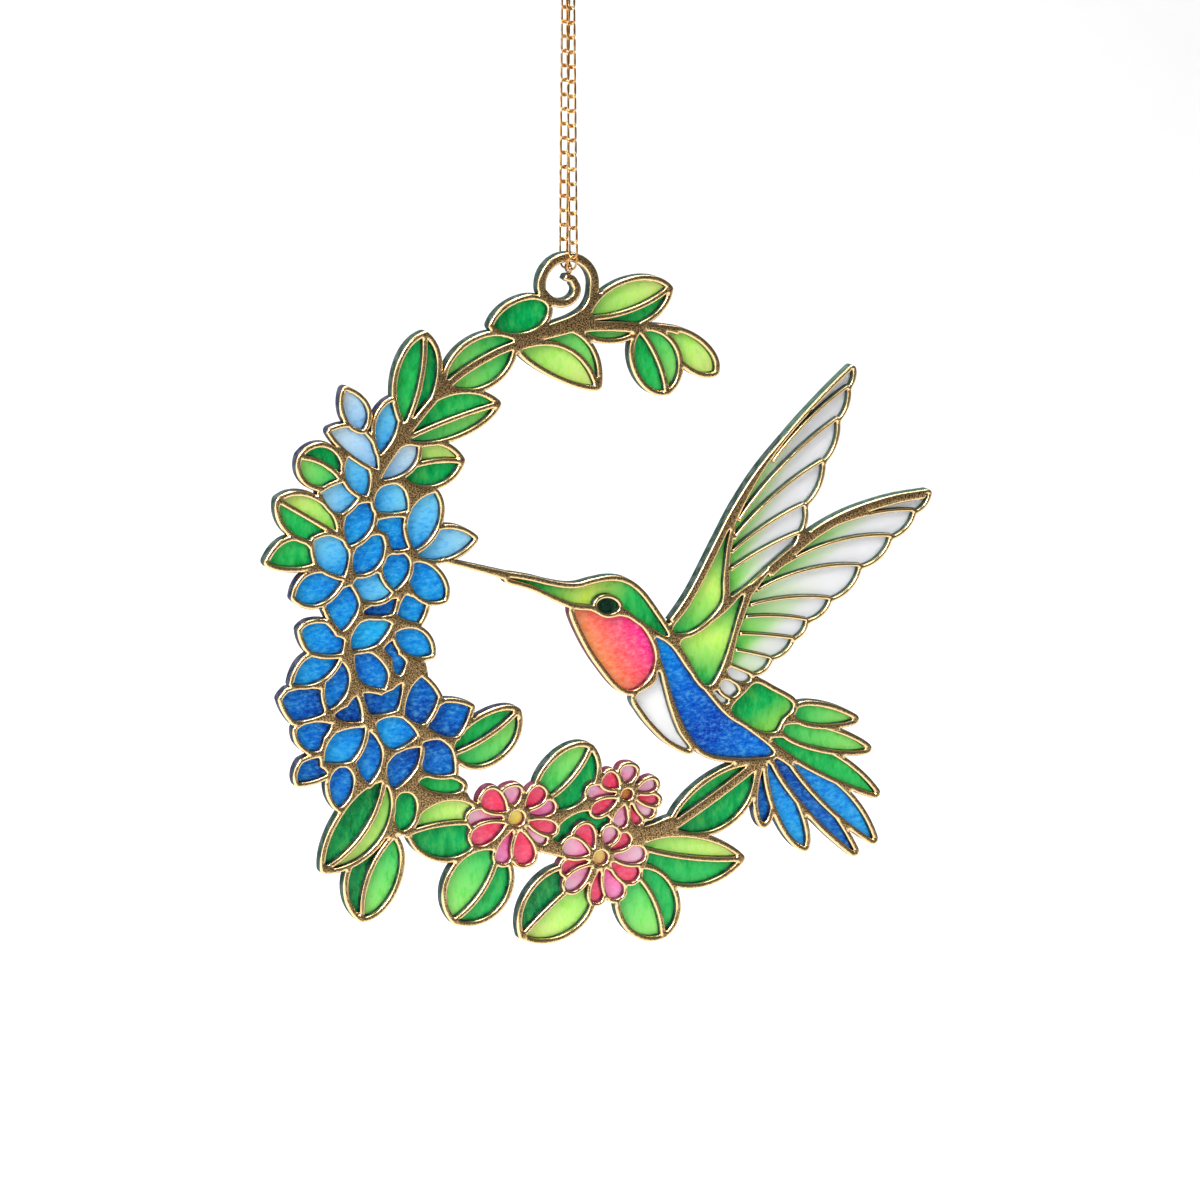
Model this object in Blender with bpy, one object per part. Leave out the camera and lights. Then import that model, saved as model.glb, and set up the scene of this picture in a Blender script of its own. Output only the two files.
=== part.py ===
"""Stained glass suncatcher: a hummingbird at a blossom wreath, hung on a fine chain.

The panel stands upright and faces -Y. Its outline is drawn flat, in millimetres
from the middle of the chain's seat in the scroll, and is then cut into a gold
leading plate with an opening for each pane and coloured glass sheets behind it.
The origin is the inside top of the hanging ring.
"""
import math

import bpy
import bmesh
from mathutils import Matrix, Vector, geometry

MM = 0.001

# Panel, from front to back
LEADING_THICKNESS = 1.5
GLUE_LINE = 0.3
GLASS_THICKNESS = 1.2
PANEL_THICKNESS = LEADING_THICKNESS + GLUE_LINE + GLASS_THICKNESS

# The drawing is 148.3 units wide and is scaled to the panel's width
PANEL_WIDTH = 148.3
SIZE = PANEL_WIDTH / 148.3

# Widths of the gold lines seen from the front, in the drawing's units
LINE = 1.25 / SIZE
FINE_LINE = 0.95 / SIZE
RIB = 1.2 / SIZE
FEATHER_RIB = 0.8 / SIZE
STEM = 2.2 / SIZE
LEAF_STEM = 2.6 / SIZE
BLOSSOM_STEM = 3.2 / SIZE
SCROLL_BAND = 2.1 / SIZE

# How closely straight sides follow the curves, and what is too small to open
OPENING_CHORD = 0.36
OUTLINE_CHORD = 0.25
SHEET_CHORD = 0.5
SMALLEST_PANE = 2.2
SMALLEST_GAP = 9.0
SHEET_GAP = 0.3

# Chain
WIRE = 0.42
LINK_LENGTH = 4.0
LINK_WIDTH = 2.4
LINK_SLACK = 0.15
STRAND_LINKS = 19
SEAT_X = 1.05
SEAT_CLEARANCE = 0.1
CHAIN_FLARE = 1.25
RING_OUTER = 8.0
RING_WIRE = 0.9
STRAND_SPREAD = 1.45
# Degrees that the links' wide side is turned away from the panel's thickness, the first one flat to the panel
FIRST_TURN = 90
LINK_TURNS = (145, 75)
RING_SEGMENTS = 16
RING_SIDES = 6

# The scroll at the top, a band that curls in on itself
SCROLL_CENTRE = (0.6, -4.9)
SCROLL_RADIUS = 5.8
CURL_RADIUS = 1.5

PITCH = LINK_LENGTH - 2 * WIRE - LINK_SLACK
SCROLL_INNER_TOP = (SCROLL_CENTRE[1] + SCROLL_RADIUS - SCROLL_BAND / 2) * SIZE

GOLD = (0.72, 0.47, 0.18)
GREEN = (0.0, 0.42, 0.14)
BLUE = (0.01, 0.25, 0.72)
ROSE = (0.85, 0.05, 0.22)
CLEAR = (0.78, 0.82, 0.78)


# Flat curves

def bezier(p0, p1, p2, p3, steps):
    points = []
    for i in range(steps):
        t = i / steps
        a, b, c, d = (1 - t) ** 3, 3 * t * (1 - t) ** 2, 3 * t * t * (1 - t), t ** 3
        points.append((a * p0[0] + b * p1[0] + c * p2[0] + d * p3[0],
                       a * p0[1] + b * p1[1] + c * p2[1] + d * p3[1]))
    return points


def blade(root, tip, left, right, root_sharp=0.2, tip_sharp=0.2, steps=14):
    """Closed leaf shape from root to tip; left and right are its greatest half-widths."""
    ax, az = tip[0] - root[0], tip[1] - root[1]
    length = math.hypot(ax, az)
    nx, nz = -az / length, ax / length

    def side(bulge):
        reach = bulge / 0.75
        return ((root[0] + ax * root_sharp + nx * reach, root[1] + az * root_sharp + nz * reach),
                (tip[0] - ax * tip_sharp + nx * reach, tip[1] - az * tip_sharp + nz * reach))

    r1, r2 = side(-right)
    l1, l2 = side(left)
    return bezier(root, r1, r2, tip, steps) + bezier(tip, l2, l1, root, steps)


def bowed(start, end, bow, steps=12):
    """Open line from start to end that bows to its left by the given amount."""
    ax, az = end[0] - start[0], end[1] - start[1]
    length = math.hypot(ax, az)
    nx, nz = -az / length * bow / 0.75, ax / length * bow / 0.75
    line = bezier(start, (start[0] + ax * 0.3 + nx, start[1] + az * 0.3 + nz),
                  (end[0] - ax * 0.3 + nx, end[1] - az * 0.3 + nz), end, steps)
    return line + [end]


def smooth(points, closed=False, steps=5):
    """Catmull-Rom curve through the points."""
    count = len(points)
    out = []
    for i in range(count if closed else count - 1):
        if closed:
            a, b, c, d = (points[(i + k - 1) % count] for k in range(4))
        else:
            a, b = points[max(i - 1, 0)], points[i]
            c, d = points[i + 1], points[min(i + 2, count - 1)]
        for s in range(steps):
            t = s / steps
            out.append(tuple(0.5 * (2 * b[k] + (c[k] - a[k]) * t
                                    + (2 * a[k] - 5 * b[k] + 4 * c[k] - d[k]) * t * t
                                    + (3 * b[k] - a[k] - 3 * c[k] + d[k]) * t ** 3) for k in (0, 1)))
    if not closed:
        out.append(points[-1])
    return out


def stroke(line, start_width, end_width=None):
    """Closed outline of a line drawn with a round-ended brush."""
    end_width = start_width if end_width is None else end_width
    last = len(line) - 1
    left, right = [], []
    for i, (x, z) in enumerate(line):
        bx, bz = line[max(i - 1, 0)]
        cx, cz = line[min(i + 1, last)]
        length = math.hypot(cx - bx, cz - bz)
        half = 0.5 * (start_width + (end_width - start_width) * i / last)
        nx, nz = -(cz - bz) / length * half, (cx - bx) / length * half
        left.append((x + nx, z + nz))
        right.append((x - nx, z - nz))
        if i == last:
            right.append((x + nz * 0.8, z - nx * 0.8))
    return right + left[::-1]


def area(loop):
    total = 0.0
    for (x0, z0), (x1, z1) in zip(loop, loop[1:] + loop[:1]):
        total += x0 * z1 - x1 * z0
    return total / 2


def anticlockwise(loop):
    return loop if area(loop) > 0 else loop[::-1]


def distance_to(loop, x, z):
    best = 1e9
    for (x0, z0), (x1, z1) in zip(loop, loop[1:] + loop[:1]):
        dx, dz = x1 - x0, z1 - z0
        t = ((x - x0) * dx + (z - z0) * dz) / max(dx * dx + dz * dz, 1e-12)
        t = min(max(t, 0.0), 1.0)
        best = min(best, (x - x0 - t * dx) ** 2 + (z - z0 - t * dz) ** 2)
    return math.sqrt(best)


def grown(loop, amount, corner_steps=3):
    """The closed loop moved outwards, with round corners and no crossings."""
    loop = anticlockwise(loop)
    count = len(loop)
    out = []
    for i in range(count):
        x0, z0 = loop[i - 1]
        x, z = loop[i]
        x1, z1 = loop[(i + 1) % count]
        a0 = math.atan2(-(x - x0), z - z0)
        a1 = math.atan2(-(x1 - x), z1 - z)
        turn = (a1 - a0 + math.pi) % (2 * math.pi) - math.pi
        fan = corner_steps if turn > 0.5 else 0
        for k in range(fan + 1):
            angle = a0 + turn * (k / fan if fan else 0.5)
            px, pz = x + amount * math.cos(angle), z + amount * math.sin(angle)
            if distance_to(loop, px, pz) > amount * 0.96:
                out.append((px, pz))
    return out


# Motifs, each one a dictionary of flat loops in painter's order, front first

def motif(sheet, colour, body, glass=(), bars=()):
    return {"sheet": sheet, "colour": colour, "body": body, "glass": list(glass), "bars": list(bars)}


def pane(sheet, colour, outline, line=LINE):
    return motif(sheet, colour, [grown(outline, line)], [outline])


def leaf(sheet, root, tip, left, right, rib, root_sharp=0.2, tip_sharp=0.2, rib_width=RIB):
    outline = blade(root, tip, left, right, root_sharp, tip_sharp)
    bar = stroke(bowed(root, tip, rib), rib_width)
    return motif(sheet, GREEN, [grown(outline, LINE)], [outline], [bar])


def petal(root, tip, left, right, root_sharp=0.12, tip_sharp=0.08, colour=BLUE):
    return pane("glass_blossoms", colour, blade(root, tip, left, right, root_sharp, tip_sharp, 9))


def flower(sheet, centre, eye, petals):
    """Ten-petalled flower; each petal is its direction in degrees, reach and width."""
    cx, cz = centre
    hub = [(cx + eye * math.cos(a), cz + eye * math.sin(a))
           for a in (2 * math.pi * k / 12 for k in range(12))]
    parts = [pane(sheet, ROSE, hub, FINE_LINE)]
    root_radius = eye + FINE_LINE + 0.35
    for degrees, reach, width in petals:
        ux, uz = math.cos(math.radians(degrees)), math.sin(math.radians(degrees))
        root = (cx + ux * root_radius, cz + uz * root_radius)
        tip = (cx + ux * reach, cz + uz * reach)
        outline = blade(root, tip, width / 2, width / 2, 0.45, -0.02, 9)
        parts.append(pane(sheet, ROSE, outline, FINE_LINE))
    parts.append(motif(sheet, ROSE, [grown(hub, 2 * FINE_LINE)]))
    return parts


def wing(sheet, front, ribs, root_line, scallop=0.16):
    """Fan of feathers: the front edge, then ribs from root to notch with their bow."""
    outline = smooth(front)
    notches = [front[-1]] + [rib[1] for rib in ribs]
    for start, end in zip(notches, notches[1:]):
        length = math.hypot(end[0] - start[0], end[1] - start[1])
        outline += bowed(start, end, scallop * length, 6)[1:]
    outline += root_line
    bars = []
    for root, notch, bow in ribs[:-1]:
        run = (notch[0] - root[0], notch[1] - root[1])
        past = (notch[0] + run[0] * 0.02, notch[1] + run[1] * 0.02)
        bars.append(stroke(bowed(root, past, bow), FEATHER_RIB))
    return motif(sheet, CLEAR, [grown(outline, FINE_LINE)], [outline], bars)


def scroll_line():
    """Centre line of the scroll: three quarters of a circle, then a tightening curl."""
    cx, cz = SCROLL_CENTRE
    line = []
    for k in range(45):
        degrees = -62 + 12 * k
        turned = max(0.0, degrees - 190) / 180
        radius = SCROLL_RADIUS - (SCROLL_RADIUS - CURL_RADIUS) * min(turned, 1.0) ** 0.8
        a = math.radians(degrees)
        line.append((cx + radius * math.cos(a), cz + radius * math.sin(a)))
    return line


def branch():
    stem = smooth([(23.4, -14.9), (20, -14.8), (14, -14), (8, -13.6), (4, -13.7), (-2, -14.8), (-8, -16),
                   (-16, -18.6), (-25, -23.8), (-33, -32), (-40, -41), (-42.5, -47)])
    name = "glass_branch"
    return [
        motif(name, GREEN, [stroke(scroll_line(), SCROLL_BAND, SCROLL_BAND * 0.75)]),
        motif(name, GREEN, [stroke(smooth([(3.3, -10.1), (3.6, -12), (5, -13.6)]), STEM)]),
        motif(name, GREEN, [stroke(stem, STEM, STEM * 0.8)]),
        pane(name, GREEN, blade((4.6, -15), (14.6, -15.6), 0.2, 1.2, 0.3, 0.3)),
        leaf(name, (16.8, -15.5), (22.4, -28.0), 5.0, 3.9, 0.9, 0.15, 0.1),
        pane(name, GREEN, blade((22.2, -15.6), (33, -24.6), 2.6, 2.4, 0.3, 0.12)),
        leaf(name, (5.8, -12), (22.6, -6.9), 4.2, 4.4, -1.4, 0.15, 0.15),
        leaf(name, (-9.8, -17.5), (6.9, -26.2), 7.4, 1.5, 4.2, 0.2, 0.2),
        pane(name, GREEN, blade((-15.6, -12.6), (-4.0, -9.4), 2.9, 3.3, 0.25, 0.05)),
        pane(name, GREEN, blade((-25.9, -23.7), (-11.5, -15.8), 4.0, 5.0)),
        leaf(name, (-30.6, -14.2), (-34.7, -32.2), 4.2, 3.8, 1.2, 0.15, 0.25),
        leaf(name, (-34.5, -35), (-15.3, -29), 5.1, 2.9, 0.4),
    ]


def left_leaves():
    name = "glass_left_leaves"
    return [
        leaf(name, (-49, -42.5), (-57, -37.7), 3.7, 4.0, -0.9, 0.2, 0.1),
        leaf(name, (-50, -54), (-61.8, -46.6), 4.2, 3.7, 0.0, 0.2, 0.15),
        pane(name, GREEN, blade((-54.5, -59.5), (-64.3, -59), 1.0, 4.3, 0.2, 0.25)),
        leaf("glass_branch", (-36, -41.8), (-23.2, -40.4), 4.3, 3.9, 0.9),
    ]


def blossoms():
    return [
        petal((-44.3, -32.2), (-47.5, -24.9), 1.6, 2.0, 0.1, 0.25),
        petal((-40.2, -37.5), (-37.8, -27.6), 1.9, 1.7, 0.3, 0.1),
        petal((-41.3, -40.7), (-50.5, -33), 0.5, 3.4, 0.25, 0.1),
        petal((-39.8, -43), (-32.6, -37), 1.8, 2.0, 0.3, 0.1),
        petal((-43.6, -46), (-46.8, -38.2), 2.1, 1.9, 0.2, 0.15),
        petal((-45.3, -47), (-52.8, -46.2), 3.2, 3.3),
        petal((-41.7, -48), (-34.8, -48.3), 3.2, 1.9),
        petal((-42.9, -48.4), (-46.9, -56.2), 2.1, 2.9, 0.1, 0.2),
        petal((-32.8, -58), (-28.8, -47.2), 3.2, 2.4, 0.2, 0.1),
        petal((-36.2, -58.3), (-38.0, -51.4), 2.7, 3.0, 0, 0),
        petal((-32, -59.2), (-20.6, -57), 3.2, 2.0, 0.1, 0.2),
        petal((-49.5, -62.3), (-53.6, -54.8), 2.6, 3.5, 0.05, 0.05),
        petal((-45.5, -62.2), (-40.6, -55.3), 2.5, 2.6, 0.1, 0.1),
        petal((-36.4, -59.2), (-37.3, -66), 2.1, 2.8, 0.0, 0.25),
        petal((-33.2, -61.6), (-27, -68.8), 2.1, 3.1, 0.05, 0.05),
        petal((-49.2, -64), (-58.4, -66.6), 2.4, 3.0, 0.3, 0.1),
        petal((-48.5, -65), (-49.2, -74.1), 2.9, 3.2, 0.1, 0.25),
        petal((-46, -64.8), (-38.6, -67), 2.8, 2.3, 0.05, 0.1),
        petal((-44.5, -70.7), (-37.2, -70), 1.1, 1.3, 0.4, 0.05),
        petal((-35.8, -67.9), (-32.6, -73.2), 2.3, 2.5, 0.2, 0.05),
        petal((-49, -77.6), (-57.5, -75), 2.6, 2.9, 0.2, 0.1),
        petal((-46.8, -77), (-39.1, -73.6), 2.7, 2.8, 0.1, 0.2),
        petal((-36.9, -75.8), (-29.9, -80.4), 2.4, 1.9, 0.15, 0.15),
        petal((-38.7, -77.8), (-37.2, -84.4), 1.3, 0.8, 0.2, 0.15),
        petal((-50, -80.3), (-59, -84.6), 1.7, 2.8, 0.25, 0.2),
        petal((-49.3, -81.2), (-51.7, -90.3), 2.4, 1.6, 0.15, 0.2),
        petal((-46.2, -81), (-39.8, -87), 3.9, 1.9, 0.05, 0.15),
        petal((-52.8, -88.8), (-61.7, -89.5), 2.9, 2.8, 0, 0.05),
        petal((-47.6, -93.6), (-46.6, -87.9), 2.3, 1.2, 0.05, 0.25),
        petal((-43.8, -90), (-36.6, -88.9), 1.6, 2.5, 0, 0),
        petal((-33, -95.2), (-32, -85.1), 2.6, 3.4, 0.2, 0.25),
        petal((-29.5, -97.7), (-22.2, -93), 3.8, 2.4, 0.05, 0.05),
        petal((-52.6, -95.9), (-58.6, -96), 2.4, 2.2, 0, 0),
        petal((-47.3, -94.7), (-50.6, -102.1), 3.0, 2.7, 0, 0),
        petal((-33, -97.5), (-41.5, -95.6), 2.9, 2.4, 0.2, 0.05),
        petal((-43.2, -96.4), (-43.4, -106.7), 2.4, 2.3, 0.25, 0.25),
        petal((-32.8, -100.2), (-38.3, -108.6), 1.9, 3.5, 0.1, 0.15),
        petal((-29.3, -99), (-28.4, -106.1), 3.1, 2.7, -0.05, -0.05),
        petal((-52.7, -104.2), (-58.2, -103.5), 1.5, 3.0, 0.3, 0.1),
        petal((-49, -103.5), (-49.7, -111.2), 2.1, 2.1, 0.0, 0.2),
    ]


def blossom_stems():
    """Gold behind the petals, so that no slit opens between them."""
    name = "glass_blossoms"
    runs = [[(-40, -41), (-42, -47), (-47.5, -63.5), (-47, -79.5), (-44, -94), (-42, -100)],
            [(-42, -47), (-36, -55), (-33.5, -59), (-37, -73.5), (-32, -84), (-33, -96), (-30.5, -107)],
            [(-47.5, -63.5), (-36, -67)], [(-47, -79.5), (-38, -75)], [(-47, -79.5), (-52, -90), (-51.5, -103)],
            [(-44, -94), (-52, -95)], [(-44, -87), (-33, -90)], [(-46, -56), (-54, -52.5)],
            [(-42, -100), (-42, -107), (-37, -111)], [(-42, -100), (-34, -98)]]
    return [motif(name, BLUE, [stroke(smooth(run), BLOSSOM_STEM)]) for run in runs]


def lower_left_leaves():
    name = "glass_lower_left_leaves"
    return [
        leaf(name, (-24.3, -102), (-11.0, -94.4), 3.1, 5.8, -0.9, 0.0, 0.12),
        pane(name, GREEN, blade((-32.3, -107.4), (-22.9, -109.4), 1.4, 1.7, 0.1, 0.0)),
        leaf(name, (-40, -107), (-52.9, -124.4), 6.1, 3.5, 2.6, 0.15, 0.25),
        pane(name, GREEN, blade((-35.6, -109.7), (-36.2, -117.6), 2.8, 1.9, -0.05, 0.1)),
        leaf(name, (-34.2, -118.2), (-19, -117.5), 5.6, 6.3, 0.9, 0.15, 0.0),
        leaf(name, (-38.4, -119), (-45, -135.4), 4.2, 5.9, -1.9, 0.15, 0.15),
        leaf(name, (-15, -124), (-24.4, -137.6), 6.6, 6.2, 1.7, 0.1, 0.12),
        motif(name, GREEN, [stroke(smooth([(-38, -110), (-35, -118), (-30, -111), (-22, -112)]), LEAF_STEM)]),
    ]


def lower_right_leaves():
    name = "glass_lower_right_leaves"
    return [
        leaf(name, (15, -130.5), (21.8, -144.6), 5.8, 6.0, 1.5, 0.1, 0.05),
        leaf(name, (16.5, -125.5), (39.2, -129.8), 3.2, 6.6, -1.0, 0.2, 0.25),
        leaf(name, (24, -121.5), (42.3, -109.9), 3.2, 6.6, -0.3, 0.2, 0.2, STEM),
        motif(name, GREEN, [stroke(smooth([(13, -122.7), (19, -121.9), (25, -120.5), (31, -122.9)]), LEAF_STEM)]),
        motif(name, GREEN, [stroke(smooth([(18, -129), (17, -131), (13, -134)]), LEAF_STEM)]),
    ]


def flowers():
    a = flower("glass_flower_left", (-10.9, -117.0), 1.6, (
        (142, 9.2, 4.3), (101, 6.8, 3.9), (45, 8.2, 3.4), (14, 8.6, 3.0), (-20, 9.2, 2.6),
        (-42, 8.6, 2.2), (-78, 10.2, 4.4), (-111, 10.0, 3.4), (-158, 10.6, 4.0), (176, 10.6, 3.6)))
    b = flower("glass_flower_middle", (7.8, -127.0), 1.5, (
        (157, 8.8, 3.7), (125, 8.4, 4.2), (66, 6.8, 3.2), (33, 7.6, 3.0), (0, 9.9, 3.6),
        (-30, 9.6, 3.9), (-66, 9.9, 3.8), (-96, 9.7, 2.8), (-141, 9.7, 3.3), (-168, 8.8, 3.2)))
    c = flower("glass_flower_right", (13.7, -113.8), 1.15, (
        (139, 6.6, 3.2), (86, 6.1, 3.4), (16, 6.8, 2.4), (-16, 7.3, 1.9), (-40, 7.4, 2.3),
        (-68, 7.1, 2.0), (-105, 7.2, 3.0), (-158, 8.3, 2.8), (172, 8.8, 2.9)))
    return a + b + c


def bridge_leaves():
    name = "glass_leaf_between_flowers"
    return [
        leaf(name, (-5, -114), (5.4, -103.5), 4.4, 6.3, -1.3, 0.0, 0.08),
        pane(name, GREEN, blade((-2.8, -122), (10, -119), 3.6, 3.0)),
    ]


def lower_middle_leaf():
    name = "glass_lower_middle_leaf"
    return [
        leaf(name, (4, -131), (-9.4, -142.2), 6.7, 6.0, -0.5, 0.0, 0.2),
        motif(name, GREEN, [stroke(smooth([(-8, -122.8), (-4, -124), (1, -125.5)]), LEAF_STEM)]),
    ]


def bird_front():
    """Head, bill, eye, throat and belly."""
    head = smooth([(-12.4, -65.7), (-8, -66.6), (-4, -67.8), (0, -68.7), (3, -68.8), (6, -68.2), (10, -67.8),
                   (13.4, -68.6), (16.5, -71), (19.5, -75), (22.8, -80.2), (20, -78.8), (16, -75.9),
                   (12.8, -73.6), (9, -73), (5, -72.5), (2, -72), (-2, -70.2), (-7, -67.6)], True)
    eye = blade((7.0, -72.4), (11.9, -73.5), 1.5, 1.7, 0.1, 0.15)
    throat = smooth([(2.0, -73.4), (5.5, -73.9), (9, -75.6), (12.5, -75.5), (16, -77.2), (18.8, -81),
                     (19.9, -85), (18.8, -88.6), (15.4, -91.3), (12.3, -90.3), (8.8, -86.3), (5, -80.5)], True)
    belly = smooth([(20.8, -87.8), (19.8, -90.4), (15.9, -92.8), (17.2, -95.8), (20, -99.4), (23.5, -102.8),
                    (27.7, -105), (25.2, -101.2), (23.2, -96), (21.8, -91)], True)
    return [
        pane("glass_head", GREEN, eye, FINE_LINE),
        pane("glass_head", GREEN, head),
        motif("glass_head", GREEN, [stroke(smooth([(-10, -66.2), (-16, -64.2), (-27, -60.9)]), STEM, FINE_LINE)]),
        pane("glass_throat", ROSE, throat),
        pane("glass_belly", CLEAR, belly),
    ]


def bird_back():
    """Blue back, the two shoulders and the rump."""
    back = smooth([(19.8, -80.7), (23.5, -82.8), (27.2, -88), (31.5, -93.3), (36, -98.5), (41, -102),
                   (46.7, -106.9), (44.5, -108), (37, -107.5), (31.2, -105.7), (27.4, -101.2),
                   (24.4, -94.5), (22, -87)], True)
    upper = smooth([(24, -79), (27.6, -74.4), (31.4, -68.2), (34.2, -63), (36.6, -58.5), (35.9, -62.5),
                    (35.2, -69), (34.8, -74), (31, -78), (27, -79.9)], True)
    lower = smooth([(25.8, -81.9), (30.5, -79.7), (36, -76), (39.7, -72.7), (38.5, -77), (36.2, -84.5),
                    (34, -89.5), (32, -91.6), (29.8, -89.6), (27.6, -85.6)], True)
    rump = smooth([(37.3, -97.1), (40.4, -93.8), (42.8, -92), (46.5, -93.9), (50.6, -96.4), (51, -98.2),
                   (48.9, -100.2), (47.4, -102.5), (44.6, -102.5), (40.6, -100.2)], True)
    return [
        pane("glass_shoulders", GREEN, upper),
        pane("glass_shoulders", GREEN, lower),
        pane("glass_back", BLUE, back),
        pane("glass_rump_and_green_tail", GREEN, rump),
    ]


def tail():
    green, blue = "glass_rump_and_green_tail", "glass_blue_tail"
    feathers = [
        (green, (51.8, -98.8), (65.2, -101.4), 1.7, 1.9, 0.0, 0.4),
        (green, (48.9, -102), (68.2, -108), 1.8, 2.1, 0.05, 0.25),
        (green, (46.4, -104.2), (70.3, -117.9), 2.9, 1.2, 0.2, 0.3),
        (blue, (51.5, -110), (69.9, -128), 3.0, 1.2, 0.3, 0.3),
        (blue, (46.8, -108.2), (65.5, -130.3), 1.9, 1.6, 0.2, 0.35),
        (blue, (45.6, -109.4), (54.1, -128.3), 2.0, 2.3, 0.3, 0.15),
        (blue, (44.7, -110), (44.7, -122.4), 1.6, 1.3, 0.35, 0.15)]
    return [pane(name, BLUE if name == blue else GREEN, blade(*shape)) for name, *shape in feathers] + [
        motif(blue, BLUE, [stroke([(43, -108.8), (48, -108.3)], BLOSSOM_STEM)])]


def wings():
    upper = wing("glass_upper_wing",
                 [(37.4, -59.5), (38.6, -56), (43.5, -47.6), (50, -39.3), (58, -31.4), (64.2, -25.9)],
                 [((46.3, -44.6), (63.0, -29.7), 1.0), ((38.6, -56.8), (60.6, -36.5), 1.5),
                  ((37.5, -60.6), (57.4, -45.2), 1.3), ((37.0, -63.5), (53.2, -54.2), 0.8),
                  ((36.8, -67.2), (52.2, -60.2), 0.6), ((36.7, -72.5), (45, -67), 0)],
                 [(41, -70.3), (36.9, -72.9), (36.8, -66)], 0.13)
    lower = wing("glass_lower_wing",
                 [(41.8, -73.0), (47, -67.0), (54.5, -61.2), (63, -57.0), (73, -54.4), (81.8, -53.5)],
                 [((54.0, -61.9), (78.4, -57.0), 1.9), ((45.6, -68.9), (73.0, -62.2), 2.6),
                  ((42.8, -72.0), (66.0, -68.1), 1.8), ((41.4, -75.0), (59.3, -74.7), 0.9),
                  ((40.3, -77.5), (54.0, -78.9), 0.5), ((39.0, -81.0), (50.9, -82.7), 0.2),
                  ((38.0, -84.4), (45.9, -86.5), 0.1), ((37.0, -87.3), (42.6, -89.6), 0)],
                 [(37.3, -87.2), (38.6, -81.5), (40.6, -76)], 0.16)
    name = "glass_lower_wing"
    return [upper, lower,
            pane(name, CLEAR, blade((36.4, -88.6), (41.4, -91.0), 1.2, 1.3, 0, 0), FINE_LINE),
            pane(name, CLEAR, blade((34.8, -91.3), (38.6, -94.0), 1.4, 1.3, 0, 0), FINE_LINE),
            pane(name, CLEAR, blade((33.3, -93.0), (36.3, -95.6), 0.9, 0.9, 0.1, 0), FINE_LINE),
            motif(name, CLEAR, [stroke(smooth([(36.8, -75), (44, -68.6), (53.6, -60.2)]), LEAF_STEM)]),
            motif(name, CLEAR, [stroke(smooth([(36.4, -90), (37.5, -93), (36.5, -97)]), LEAF_STEM)])]


def all_motifs():
    front_edge = stroke(smooth([(24, -77.6), (28.4, -71.4), (34, -61.0), (38.2, -53.4),
                                (44.2, -45.0), (54, -34.6)]), STEM, FINE_LINE)
    return (branch() + flowers() + bird_front() + bird_back() + blossoms() + left_leaves()
            + lower_left_leaves() + bridge_leaves() + lower_middle_leaf() + lower_right_leaves()
            + tail() + wings() + [motif("glass_shoulders", GREEN, [front_edge])] + blossom_stems())


# The motifs laid over one another and cut into leading and glass

def overlay(motifs):
    """Triangles of the whole drawing, each with its motif's number and whether it is glass."""
    points, faces, roles = [], [], []
    for number, item in enumerate(motifs):
        for role in ("body", "glass", "bars"):
            for loop in item[role]:
                loop = anticlockwise(loop)
                faces.append(list(range(len(points), len(points) + len(loop))))
                points += [Vector(p) for p in loop]
                roles.append((number, role))
    verts, _, triangles, _, _, inside = geometry.delaunay_2d_cdt(points, [], faces, 1, 1e-4)
    kept, owner, glazed = [], [], []
    for triangle, sources in zip(triangles, inside):
        found = [roles[s] for s in sources]
        bodies = [number for number, role in found if role == "body"]
        if not bodies:
            continue
        first = min(bodies)
        kept.append(tuple(triangle))
        owner.append(first)
        glazed.append((first, "glass") in found and (first, "bars") not in found)
    return verts, kept, owner, glazed


def islands(triangles, same):
    """Groups of triangle numbers joined across an edge wherever same says so."""
    sides = {}
    for t, triangle in enumerate(triangles):
        for k in range(3):
            sides.setdefault(frozenset((triangle[k], triangle[(k + 1) % 3])), []).append(t)
    links = [[] for _ in triangles]
    for pair in sides.values():
        if len(pair) == 2 and same(pair[0], pair[1]):
            links[pair[0]].append(pair[1])
            links[pair[1]].append(pair[0])
    seen, groups = set(), []
    for start in range(len(triangles)):
        if start in seen:
            continue
        group, queue = [], [start]
        seen.add(start)
        while queue:
            t = queue.pop()
            group.append(t)
            for other in links[t]:
                if other not in seen:
                    seen.add(other)
                    queue.append(other)
        groups.append(group)
    return groups, sides


def triangle_area(verts, triangle):
    a, b, c = (verts[i] for i in triangle)
    return abs((b - a).cross(c - a)) / 2


def border_loops(verts, triangles, chosen):
    """Closed loops round the chosen triangles, outer ones anticlockwise."""
    following = {}
    edges = set()
    for t in chosen:
        a, b, c = triangles[t]
        if (verts[b] - verts[a]).cross(verts[c] - verts[a]) < 0:
            b, c = c, b
        edges |= {(a, b), (b, c), (c, a)}
    border = [(a, b) for a, b in edges if (b, a) not in edges]
    for a, b in border:
        following.setdefault(a, []).append(b)
    loops = []
    for a in sorted(following):
        while following[a]:
            loop = [a]
            here = following[a].pop()
            came = a
            while here != a:
                loop.append(here)
                choices = following[here]
                if len(choices) > 1:
                    back = verts[came] - verts[here]
                    choices.sort(key=lambda n: (math.atan2(*(verts[n] - verts[here]).yx)
                                                - math.atan2(*back.yx)) % (2 * math.pi))
                    nxt = choices.pop(0)
                else:
                    nxt = choices.pop()
                came, here = here, nxt
            loops.append(loop)
    return loops


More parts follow.
